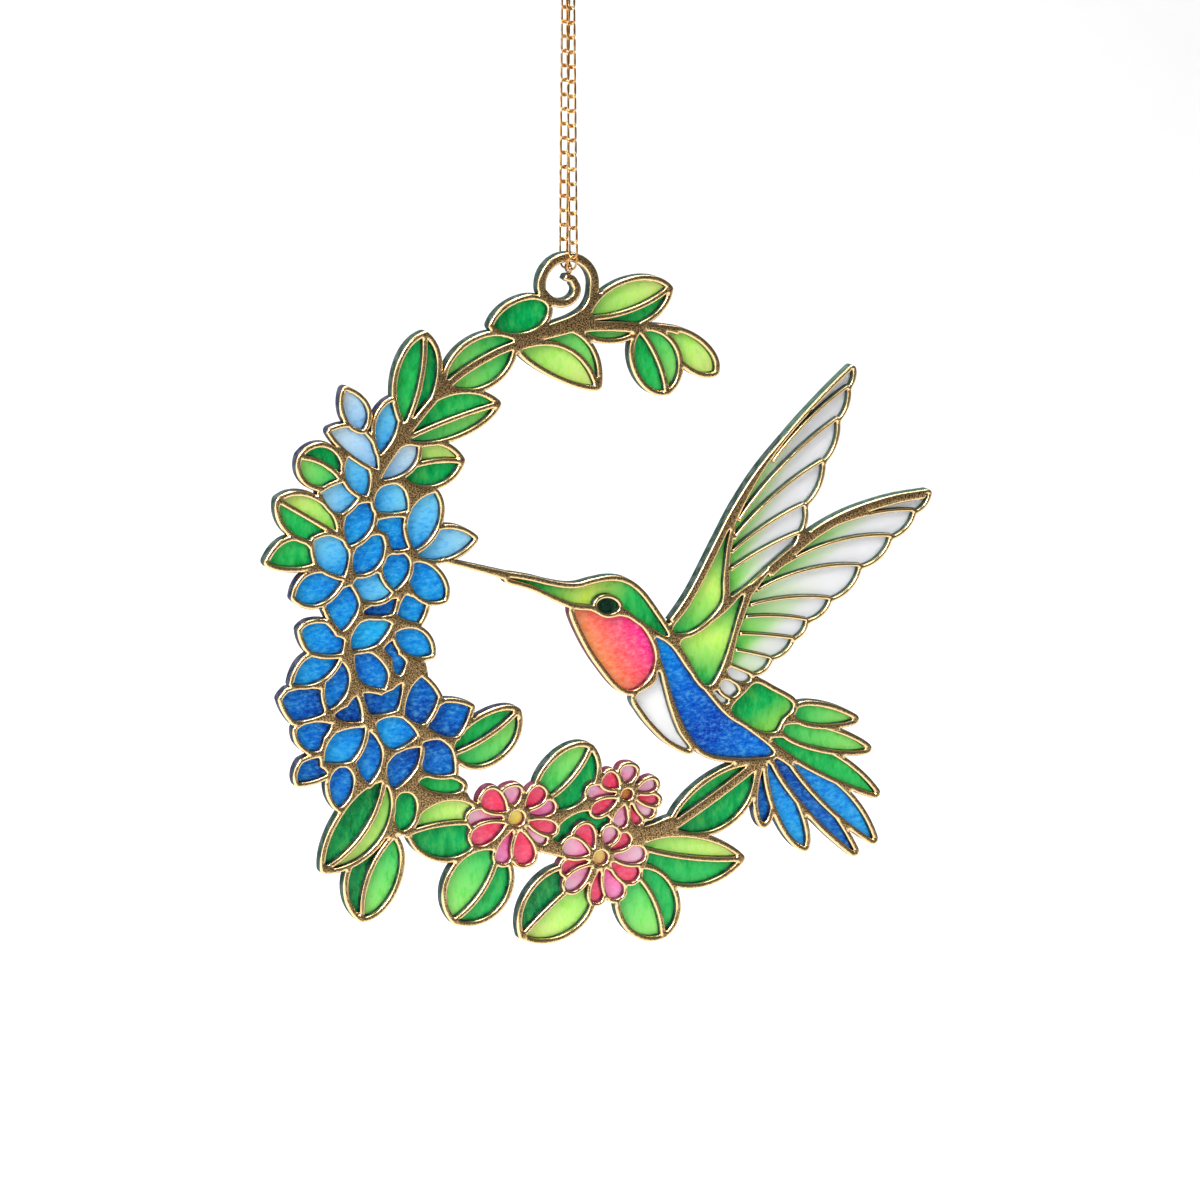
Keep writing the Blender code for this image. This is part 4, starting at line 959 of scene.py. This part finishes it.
def gold_relief(drawing, sizes):
    """Rounded gold over the lines: points, how high up the crest each is, faces and rim edges."""
    shoulder, rise = sizes.shoulder / MM, sizes.rise / MM
    loops = [resampled([tuple(drawing.verts[i]) for i in loop], EDGE_STEP)
             for loop in drawing.gold_loops]
    loops = [loop for loop in loops if len(loop) > 2]
    distance = edge_finder(loops, EDGE_SAMPLE)
    points, faces = [], []
    for loop in loops:
        ordered = loop if area(loop) > 0 else loop[::-1]
        faces.append(list(range(len(points), len(points) + len(loop))))
        points += [Vector(p) for p in ordered]
    outer = max(range(len(loops)), key=lambda i: abs(area(loops[i])))
    taken = set()
    for angle in SHOULDER_ROWS:
        reach = shoulder * (1 - math.cos(math.radians(angle)))
        for loop in loops:
            for x, z in offset_points(loop, reach):
                cell = (angle, round(x / POINT_ROOM), round(z / POINT_ROOM))
                if cell not in taken and distance(x, z) > reach * 0.9:
                    taken.add(cell)
                    points.append(Vector((x, z)))
    points += [p for p in raster(GOLD_NET) if distance(*p) > shoulder + 0.2]
    verts, triangles, _, inside = triangulated(points, faces)
    kept = [tuple(t) for t, found in zip(triangles, inside) if list(found) == [outer]]
    used = sorted({i for t in kept for i in t})
    number = {i: k for k, i in enumerate(used)}
    front, crest = [], []
    top = LEADING_LOW.y / MM
    for i in used:
        x, z = verts[i]
        part = min(distance(x, z) / shoulder, 1.0)
        height = rise * math.sqrt(max(1 - (1 - part) ** 2, 0.0))
        front.append((x, top + rise - height, z))
        crest.append(part)
    made = []
    for t in kept:
        a, b, c = (number[i] for i in t)
        turn = (verts[t[1]] - verts[t[0]]).cross(verts[t[2]] - verts[t[0]])
        made.append((a, b, c) if turn > 0 else (a, c, b))
    edges = {(f[k], f[(k + 1) % 3]) for f in made for k in range(3)}
    rim = [(a, b) for a, b in edges if (b, a) not in edges]
    return front, crest, made, rim


# Meshes and materials

def deselect():
    for item in bpy.context.selected_objects:
        item.select_set(False)


def piece(name, points, faces, finishes, slot, *nodes):
    """Mesh object in the frame that stands for the CAD nodes it names."""
    mesh = bpy.data.meshes.new(name)
    mesh.from_pydata([tuple(c * MM for c in p) for p in points], [], faces)
    mesh.update()
    made = bpy.data.objects.new(name, mesh)
    bpy.context.scene.collection.objects.link(made)
    for finish in finishes:
        mesh.materials.append(finish)
    return settled(made, slot, *nodes)


def settled(made, slot, *nodes):
    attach(made, "root")
    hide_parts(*nodes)
    return made


def corner_colours(mesh, name, colours):
    """Stores a colour for each corner of each face."""
    layer = mesh.attributes.new(name, "FLOAT_COLOR", "CORNER")
    flat = np.ones((len(mesh.loops), 4), np.float32)
    flat[:, :3] = np.array(colours, np.float32)
    layer.data.foreach_set("color", flat.ravel())


def add(tree, kind, sockets=(), **settings):
    """Node with its settings, its input values and its links."""
    made = tree.nodes.new(kind)
    for key, value in settings.items():
        setattr(made, key, value)
    for socket, value in sockets:
        if isinstance(value, bpy.types.NodeSocket):
            tree.links.new(value, made.inputs[socket])
        else:
            made.inputs[socket].default_value = value
    return made


def blank(name):
    """New material with its node tree and its Principled shader."""
    made = bpy.data.materials.new(name)
    made.use_nodes = True
    return made, made.node_tree, made.node_tree.nodes["Principled BSDF"]


def grain(tree, size_mm, detail, stretch=(1, 1, 1), turn=0.0):
    """Noise whose spots are about size_mm across, drawn out along a turned direction."""
    place = add(tree, "ShaderNodeTexCoord")
    mapped = add(tree, "ShaderNodeMapping", [
        ("Vector", place.outputs["Object"]), ("Rotation", (0, turn, 0)), ("Scale", stretch)])
    return add(tree, "ShaderNodeTexNoise", [
        ("Vector", mapped.outputs["Vector"]), ("Scale", 1 / (size_mm * MM)), ("Detail", detail),
        ("Roughness", 0.6)]).outputs["Fac"]


def ranged(tree, value, low, high, to_low, to_high):
    """The value taken smoothly from one range to another."""
    return add(tree, "ShaderNodeMapRange", [
        ("Value", value), ("From Min", low), ("From Max", high),
        ("To Min", to_low), ("To Max", to_high)],
        interpolation_type="SMOOTHSTEP").outputs["Result"]


def mixed(tree, factor, first, second, blend="MIX"):
    """Two colours mixed by the factor."""
    return add(tree, "ShaderNodeMix", [(0, factor), (6, first), (7, second)],
               data_type="RGBA", blend_type=blend).outputs[2]


def gold_with_painted_crest(colours):
    """Zinc alloy casting, gold plated; its flat crests are painted a dark speckled brown, a painted
    reflection of the dark room in front of it, and its shoulders keep the bright gold.
    """
    made, tree, shader = blank("gold_plate_with_painted_crest")
    crest = add(tree, "ShaderNodeAttribute", attribute_name="crest").outputs["Fac"]
    # Speckle of the plating, about 0.3 mm, as coarse as the picture shows it
    speckle = ranged(tree, grain(tree, 0.3, 2.0), 0.43, 0.6, 0.0, 1.0)
    crest_shade_and_speckle = mixed(tree, speckle, (*colours.crest_shade_colour, 1), (*colours.gold_fleck, 1))
    # Painted reflection: the flat crest takes the dark crest colour, standing in for the dark room
    # that the flat tops mirror; the speckle on it is the plating's own grain
    flat = ranged(tree, crest, 0.55, 0.98, 0.0, 1.0)
    tree.links.new(mixed(tree, flat, (*colours.gold, 1), crest_shade_and_speckle), shader.inputs["Base Color"])
    tree.links.new(ranged(tree, flat, 0.0, 1.0, 0.22, 0.38), shader.inputs["Roughness"])
    shader.inputs["Metallic"].default_value = 1.0
    bumps = add(tree, "ShaderNodeBump", [
        ("Height", grain(tree, 0.5, 3.0)), ("Strength", 0.35), ("Distance", 0.06 * MM)])
    tree.links.new(bumps.outputs["Normal"], shader.inputs["Normal"])
    return made


def tinted_edge():
    """Edge of the coloured panel under the gold, dark and satin like cut glass."""
    made, tree, shader = blank("dark_tinted_edge")
    colour = add(tree, "ShaderNodeAttribute", attribute_name="edge_tint").outputs["Color"]
    cloud = ranged(tree, grain(tree, 1.6, 2.0), 0.35, 0.7, 0.0, 0.5)
    tree.links.new(mixed(tree, cloud, colour, mixed(tree, 0.3, colour, (0.4, 0.45, 0.45, 1))),
                   shader.inputs["Base Color"])
    shader.inputs["Roughness"].default_value = 0.6
    shader.inputs["Specular IOR Level"].default_value = 0.08
    return made


def art_glass(name, light, size_mm, stretch, turn, depth, clear):
    """Rolled art glass: paler and deeper streaks of colour through it and a gently rippled face."""
    made, tree, shader = blank(name)
    colour = add(tree, "ShaderNodeAttribute", attribute_name="tint").outputs["Color"]
    streaks = grain(tree, size_mm, 4.0, stretch, turn)
    fine = grain(tree, size_mm * 0.35, 3.0, stretch, turn + 0.4)
    pale = mixed(tree, 0.4, colour, (*linear(light), 1))
    deep = mixed(tree, 0.75, colour, mixed(tree, 1.0, colour, colour, "MULTIPLY"))
    body = mixed(tree, ranged(tree, streaks, 0.5, 0.66, 0.0, depth), colour, pale)
    body = mixed(tree, ranged(tree, streaks, 0.5, 0.34, 0.0, depth), body, deep)
    body = mixed(tree, ranged(tree, fine, 0.52, 0.66, 0.0, depth * 0.5), body, pale)
    body = mixed(tree, ranged(tree, fine, 0.46, 0.34, 0.0, depth * 0.4), body, deep)
    tree.links.new(body, shader.inputs["Base Color"])
    shader.inputs["Roughness"].default_value = 0.14
    shader.inputs["IOR"].default_value = 1.5
    shader.inputs["Specular IOR Level"].default_value = 0.2
    shader.inputs["Transmission Weight"].default_value = clear
    ripple = add(tree, "ShaderNodeBump", [
        ("Height", streaks), ("Strength", 0.15), ("Distance", 0.1 * MM)])
    tree.links.new(ripple.outputs["Normal"], shader.inputs["Normal"])
    return made


def chain_gold(colours):
    """Fine gold-plated wire, drawn smooth and bright."""
    made, tree, shader = blank("gold_plated_chain_wire")
    worn = ranged(tree, grain(tree, 1.2, 2.0), 0.4, 0.7, 0.0, 0.6)
    tone = mixed(tree, worn, (*colours.chain, 1), (*colours.gold, 1))
    tree.links.new(tone, shader.inputs["Base Color"])
    shader.inputs["Metallic"].default_value = 1.0
    shader.inputs["Roughness"].default_value = 0.2
    return made


# Sizes and colours that a user would change

class SUNCATCHER_PG_sizes(bpy.types.PropertyGroup):
    shoulder: FloatProperty(
        name="Shoulder", description="Width of the rounded edge of the gold lines",
        default=0.55 * MM, min=0.1 * MM, max=0.8 * MM, subtype="DISTANCE", unit="LENGTH")
    rise: FloatProperty(
        name="Rise", description="Height of the rounded edge of the gold lines",
        default=0.5 * MM, min=0.1 * MM, max=0.9 * MM, subtype="DISTANCE", unit="LENGTH")
    chain_wire: FloatProperty(
        name="Chain wire", description="Diameter of the chain's wire",
        default=0.48 * MM, min=0.2 * MM, max=0.5 * MM, subtype="DISTANCE", unit="LENGTH")
    ring_wire: FloatProperty(
        name="Ring wire", description="Diameter of the hanging ring's wire",
        default=0.9 * MM, min=0.5 * MM, max=1.2 * MM, subtype="DISTANCE", unit="LENGTH")


def colour_property(name, description, code):
    return FloatVectorProperty(name=name, description=description, default=linear(code),
                               min=0.0, max=1.0, size=3, subtype="COLOR")


class SUNCATCHER_PG_colours(bpy.types.PropertyGroup):
    gold: colour_property("Gold", "Bright gold of the lines' shoulders", "#EBCD98")
    # The crest colour is painted shade: a dark gold on the flat tops of the lines, standing in for
    # the dark room that they reflect
    crest_shade_colour: colour_property("Gold crest", "Dulled gold on top of the lines", "#543C1C")
    gold_fleck: colour_property("Gold fleck", "Bright flecks on top of the lines", "#E6C088")
    chain: colour_property("Chain", "Gold of the chain's wire", "#B98A50")
    backdrop: colour_property("Backdrop", "Paper of the floor and backdrop", "#F6F6F6")


# Operators, one for each group of pieces

class SUNCATCHER_OT_leading(bpy.types.Operator):
    """Add the gold leading with its rounded lines"""
    bl_idname = "suncatcher.leading"
    bl_label = "Gold leading"

    def execute(self, context):
        scene = context.scene
        front, crest, faces, rim = gold_relief(DRAWING, scene.suncatcher_sizes)
        points = list(front)
        behind = GLASS_LOW.y / MM - 0.02
        back = {}
        for a, b in rim:
            for i in (a, b):
                if i not in back:
                    back[i] = len(points)
                    points.append((front[i][0], behind, front[i][2]))
        walls = [(b, a, back[a], back[b]) for a, b in rim]
        made = list(faces) + walls + back_faces(front, rim, back)
        gold_count = len(faces)
        points = [(x - SEAT_X, y, z + DROP) for x, y, z in points]
        finishes = [gold_with_painted_crest(scene.suncatcher_colours), tinted_edge()]
        leading = piece("gold_leading", points, made, finishes, "gold_leading", "leading")
        mesh = leading.data
        slots = np.ones(len(made), np.int32)
        slots[:gold_count] = 0
        mesh.polygons.foreach_set("material_index", slots)
        smooth_faces = np.zeros(len(made), bool)
        smooth_faces[:gold_count] = True
        mesh.polygons.foreach_set("use_smooth", smooth_faces)
        height = mesh.attributes.new("crest", "FLOAT", "POINT")
        height.data.foreach_set("value", crest + [0.0] * (len(points) - len(crest)))
        edge = mesh.attributes.new("edge_tint", "FLOAT_COLOR", "POINT")
        flat = np.ones((len(points), 4), np.float32)
        flat[:, :3] = edge_tints([(p[0] + SEAT_X, p[2] - DROP) for p in points])
        edge.data.foreach_set("color", flat.ravel())
        mesh.update()
        return {"FINISHED"}


def back_faces(front, rim, back):
    """Flat faces that close the leading behind, between its rim points."""
    following = {}
    for a, b in rim:
        following.setdefault(a, []).append(b)
    order, faces = [], []
    for start in list(following):
        while following[start]:
            run = [start]
            here = following[start].pop()
            while here != start:
                run.append(here)
                here = following[here].pop()
            faces.append(list(range(len(order), len(order) + len(run))))
            order += run
    loops = [[(front[order[k]][0], front[order[k]][2]) for k in face] for face in faces]
    outer = max(range(len(loops)), key=lambda i: abs(area(loops[i])))
    faces = [f if area(loop) > 0 else f[::-1] for f, loop in zip(faces, loops)]
    points = [Vector((front[i][0], front[i][2])) for i in order]
    verts, triangles, source, inside = triangulated(points, faces)
    made = []
    for t, found in zip(triangles, inside):
        if list(found) == [outer] and all(source[i] for i in t):
            a, b, c = (back[order[source[i][0]]] for i in t)
            turn = (verts[t[1]] - verts[t[0]]).cross(verts[t[2]] - verts[t[0]])
            made.append((a, c, b) if turn > 0 else (a, b, c))
    return made


def edge_tints(places):
    """Edge colour of the sheet nearest to each place."""
    tree = kdtree.KDTree(len(DRAWING.triangles))
    for t, triangle in enumerate(DRAWING.triangles):
        x, z = sum((DRAWING.verts[i] for i in triangle), Vector((0, 0))) / 3
        tree.insert((x, z, 0.0), t)
    tree.balance()
    tones = {name: linear(EDGES.get(name, LEAF_EDGE)) for name in set(DRAWING.sheet_of)}
    return [tones[DRAWING.sheet_of[tree.find((x, z, 0.0))[1]]] for x, z in places]


# Material slots of a sheet: its own glass, then leaf glass, then its rim
RIM_SLOT = 2


class SUNCATCHER_OT_glass(bpy.types.Operator):
    """Add the sheets of coloured glass behind the leading"""
    bl_idname = "suncatcher.glass"
    bl_label = "Glass sheets"

    def execute(self, context):
        blossom, leafy, rosy, clear, mottled = (art_glass(*look) for look in (
            ("rippled_blue_art_glass", "#7CDCFF", 1.5, (1, 1, 1.8), 0.25, 1.0, 0.5),
            ("streaked_green_art_glass", "#7CE45C", 3.2, (2.0, 1, 0.9), 0.45, 0.75, 0.5),
            ("streaked_pink_art_glass", "#FFD0DC", 1.8, (1, 1, 1.6), 0.9, 0.55, 0.6),
            ("clear_white_art_glass", "#FFFFFF", 6.0, (1, 1, 2), 0.3, 0.1, 0.54),
            ("mottled_throat_art_glass", "#FFC8C0", 2.0, (1.2, 1, 2.0), 0.7, 0.75, 0.5)))
        finishes = {
            "glass_blossoms": blossom, "glass_back": blossom, "glass_blue_tail": blossom,
            "glass_flower_left": rosy, "glass_flower_middle": rosy, "glass_flower_right": rosy,
            "glass_throat": mottled, "glass_belly": clear, "glass_upper_wing": clear,
            "glass_lower_wing": clear}
        rim = bpy.data.materials.get("dark_tinted_edge") or tinted_edge()
        for name in dict.fromkeys(DRAWING.sheet_of):
            self.sheet(name, (finishes.get(name, leafy), leafy, rim))
        return {"FINISHED"}

    def sheet(self, name, finishes):
        """Closed sheet: front and back triangles for each of the drawing's, and a rim."""
        near, far = GLASS_LOW.y / MM, GLASS_HIGH.y / MM
        members = [t for t in range(len(DRAWING.triangles)) if DRAWING.sheet_of[t] == name]
        points, number, turned, faces, colours = [], {}, [], [], []
        for t in members:
            a, b, c = DRAWING.triangles[t]
            va, vb, vc = (DRAWING.verts[i] for i in (a, b, c))
            turned.append((a, b, c) if (vb - va).cross(vc - va) > 0 else (a, c, b))
        for i in sorted({i for face in turned for i in face}):
            number[i] = len(points)
            x, z = DRAWING.verts[i]
            points += [(x - SEAT_X, near, z + DROP), (x - SEAT_X, far, z + DROP)]
        edges = {(f[k], f[(k + 1) % 3]) for f in turned for k in range(3)}
        for t, face in zip(members, turned):
            middle = sum((DRAWING.verts[i] for i in face), Vector((0, 0))) / 3
            tones = [DRAWING.colour(t, i, middle) for i in face]
            faces.append([number[i] for i in face])
            colours += tones
            faces.append([number[i] + 1 for i in reversed(face)])
            colours += tones[::-1]
        edge = linear(EDGES.get(name, LEAF_EDGE))
        for a, b in edges:
            if (b, a) not in edges:
                faces.append([number[b], number[a], number[a] + 1, number[b] + 1])
                colours += [edge] * 4
        made = piece("stained_" + name, points, faces, finishes, name, name)
        slots = np.full(len(faces), RIM_SLOT, np.int32)
        slots[:2 * len(members)] = np.repeat([DRAWING.leafy(t) for t in members], 2)
        made.data.polygons.foreach_set("material_index", slots)
        # The tint holds the glass colours, with the painted shade along the gold in them
        corner_colours(made.data, "tint", colours)
        corner_colours(made.data, "edge_tint", [edge] * len(colours))


class SUNCATCHER_OT_chain(bpy.types.Operator):
    """Add the oval links of the chain and the hanging ring"""
    bl_idname = "suncatcher.chain"
    bl_label = "Chain and ring"

    def execute(self, context):
        sizes = context.scene.suncatcher_sizes
        finish = chain_gold(context.scene.suncatcher_colours)
        names = sorted(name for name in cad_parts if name.startswith("chain_link_"))
        pattern = self.oval(*link_size(node_corners(names[0])), sizes.chain_wire, finish)
        for name in names:
            middle, axes = node_axes(node_corners(name))
            link = pattern.copy()
            link.data = pattern.data.copy()
            link.name = "gold_" + name
            context.scene.collection.objects.link(link)
            turn = Matrix([list(axis) for axis in axes]).transposed().to_4x4()
            link.data.transform(Matrix.Translation(Vector(middle)) @ turn)
            if turn.determinant() < 0:
                link.data.flip_normals()
            settled(link, "gold_chain", name)
        bpy.data.objects.remove(pattern)
        self.ring(sizes.ring_wire, finish)
        return {"FINISHED"}

    def oval(self, length, width, wire, finish):
        """One link at the world's origin, its long axis along X: a torus drawn out."""
        deselect()
        bpy.ops.mesh.primitive_torus_add(
            major_segments=18, minor_segments=8, major_radius=(width - wire) / 2,
            minor_radius=wire / 2)
        made = bpy.context.object
        straight = (length - width) / 2
        for vertex in made.data.vertices:
            vertex.co.x += math.copysign(straight, vertex.co.x)
        bpy.ops.object.shade_smooth()
        made.data.materials.append(finish)
        return made

    def ring(self, wire, finish):
        """The hanging ring, edge-on as its CAD node is."""
        low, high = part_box("hanging_ring")
        deselect()
        bpy.ops.mesh.primitive_torus_add(
            major_segments=64, minor_segments=16, major_radius=(high.z - low.z - wire) / 2,
            minor_radius=wire / 2, location=(low + high) / 2, rotation=(0, math.pi / 2, 0))
        made = bpy.context.object
        made.name = "gold_hanging_ring"
        bpy.ops.object.transform_apply(location=True, rotation=True, scale=True)
        bpy.ops.object.shade_smooth()
        made.data.materials.append(finish)
        settled(made, "gold_chain", "hanging_ring")


def node_corners(name):
    """Corners of a CAD node's mesh, one to a row."""
    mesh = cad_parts[name].data
    flat = np.zeros(len(mesh.vertices) * 3, np.float32)
    mesh.vertices.foreach_get("co", flat)
    return flat.reshape(-1, 3).astype(float)


def node_axes(corners):
    """Middle of a node and its own axes, longest first."""
    middle = (corners.min(0) + corners.max(0)) / 2
    _, _, axes = np.linalg.svd(corners - corners.mean(0), full_matrices=False)
    return middle, axes


def link_size(corners):
    """Length and width of a link along its own axes."""
    middle, axes = node_axes(corners)
    across = (corners - middle) @ axes.T
    return np.ptp(across, axis=0)[:2]


# The studio

# Point of the panel in the middle of the photograph, the view's angles and its distance
AIM = Vector((7.4646 - SEAT_X, LEADING_LOW.y / MM, -71.5333 + DROP)) * MM
VIEW_AZIMUTH, VIEW_ELEVATION = math.radians(-20), math.radians(11)
VIEW_DISTANCE = 1.254

# The paper sweep in metres: floor, bend behind the panel and the height of its top
FLOOR_Z = -0.42
SWEEP_FRONT = -0.9
SWEEP_BEND = 1.6
SWEEP_RADIUS = 1.2
SWEEP_WIDTH = 7.0
SWEEP_HEIGHT = 4.0
SWEEP_ROWS = 40


def soft_light(name, place, size, power, aim=AIM):
    """Softbox aimed at the panel or at another place."""
    lamp = bpy.data.lights.new(name, "AREA")
    lamp.shape = "RECTANGLE"
    lamp.size, lamp.size_y = size
    lamp.energy = power
    made = bpy.data.objects.new(name, lamp)
    made.location = place
    made.rotation_euler = (Vector(place) - Vector(aim)).to_track_quat("Z", "Y").to_euler()
    bpy.context.scene.collection.objects.link(made)


class SUNCATCHER_OT_studio(bpy.types.Operator):
    """Add the pale floor, the backdrop, the soft lights and the camera"""
    bl_idname = "suncatcher.studio"
    bl_label = "Studio"

    def execute(self, context):
        scene = context.scene
        paper, tree, shader = blank("white_paper_sweep")
        backdrop = (*scene.suncatcher_colours.backdrop, 1)
        tone = mixed(tree, grain(tree, 40.0, 2.0), backdrop, (0.9, 0.9, 0.9, 1))
        tree.links.new(tone, shader.inputs["Base Color"])
        shader.inputs["Roughness"].default_value = 0.8
        deselect()
        bpy.ops.mesh.primitive_grid_add(x_subdivisions=2, y_subdivisions=SWEEP_ROWS, size=1)
        sweep = context.object
        sweep.name = "paper_sweep"
        run = [(SWEEP_FRONT, FLOOR_Z), (SWEEP_BEND, FLOOR_Z)]
        bend = SWEEP_ROWS - 2
        for k in range(1, bend + 1):
            a = math.radians(90 * k / bend)
            run.append((SWEEP_BEND + SWEEP_RADIUS * math.sin(a),
                        FLOOR_Z + SWEEP_RADIUS * (1 - math.cos(a))))
        run.append((SWEEP_BEND + SWEEP_RADIUS, FLOOR_Z + SWEEP_HEIGHT))
        for vertex in sweep.data.vertices:
            y, z = run[round((vertex.co.y + 0.5) * SWEEP_ROWS)]
            vertex.co = (vertex.co.x * SWEEP_WIDTH, y, z)
        bpy.ops.object.shade_smooth()
        sweep.data.materials.append(paper)

        world = bpy.data.worlds.new("studio_air")
        world.use_nodes = True
        world.node_tree.nodes["Background"].inputs["Color"].default_value = (1, 1, 1, 1)
        world.node_tree.nodes["Background"].inputs["Strength"].default_value = 0.12
        scene.world = world
        soft_light("key_softbox", (-1.1, -1.0, 0.8), (0.8, 0.8), 34)
        soft_light("top_softbox", (0.0, 0.0, 1.2), (1.4, 0.5), 14)
        soft_light("left_softbox", (-1.3, -0.1, -0.1), (0.4, 1.2), 7)
        soft_light("backdrop_light", (0.0, 0.9, 1.6), (2.4, 0.8), 50, (0.0, 1.9, FLOOR_Z))

        lens = bpy.data.cameras.new("photo_camera")
        lens.lens, lens.sensor_width = 180, 36
        lens.clip_start, lens.clip_end = 0.05, 50
        camera = bpy.data.objects.new("photo_camera", lens)
        back = Vector((math.sin(VIEW_AZIMUTH) * math.cos(VIEW_ELEVATION),
                       -math.cos(VIEW_AZIMUTH) * math.cos(VIEW_ELEVATION),
                       math.sin(VIEW_ELEVATION)))
        camera.location = AIM + back * VIEW_DISTANCE
        camera.rotation_euler = back.to_track_quat("Z", "Y").to_euler()
        scene.collection.objects.link(camera)
        scene.camera = camera
        scene.view_settings.view_transform = "Standard"
        return {"FINISHED"}


class SUNCATCHER_PT_panel(bpy.types.Panel):
    bl_label = "Suncatcher"
    bl_idname = "SUNCATCHER_PT_panel"
    bl_space_type = "VIEW_3D"
    bl_region_type = "UI"
    bl_category = "Suncatcher"

    def draw(self, context):
        for group in (context.scene.suncatcher_sizes, context.scene.suncatcher_colours):
            for name in group.bl_rna.properties.keys():
                if name not in ("rna_type", "name"):
                    self.layout.prop(group, name)
        for operator in OPERATORS:
            self.layout.operator(operator.bl_idname)


OPERATORS = (SUNCATCHER_OT_leading, SUNCATCHER_OT_glass, SUNCATCHER_OT_chain, SUNCATCHER_OT_studio)
CLASSES = (SUNCATCHER_PG_sizes, SUNCATCHER_PG_colours, *OPERATORS, SUNCATCHER_PT_panel)
DRAWING = Drawing()


def register():
    for item in CLASSES:
        bpy.utils.register_class(item)
    bpy.types.Scene.suncatcher_sizes = PointerProperty(type=SUNCATCHER_PG_sizes)
    bpy.types.Scene.suncatcher_colours = PointerProperty(type=SUNCATCHER_PG_colours)


def unregister():
    del bpy.types.Scene.suncatcher_colours
    del bpy.types.Scene.suncatcher_sizes
    for item in reversed(CLASSES):
        bpy.utils.unregister_class(item)


def main():
    register()
    bpy.ops.suncatcher.leading()
    bpy.ops.suncatcher.glass()
    bpy.ops.suncatcher.chain()
    bpy.ops.suncatcher.studio()


if __name__ == "__main__":
    main()
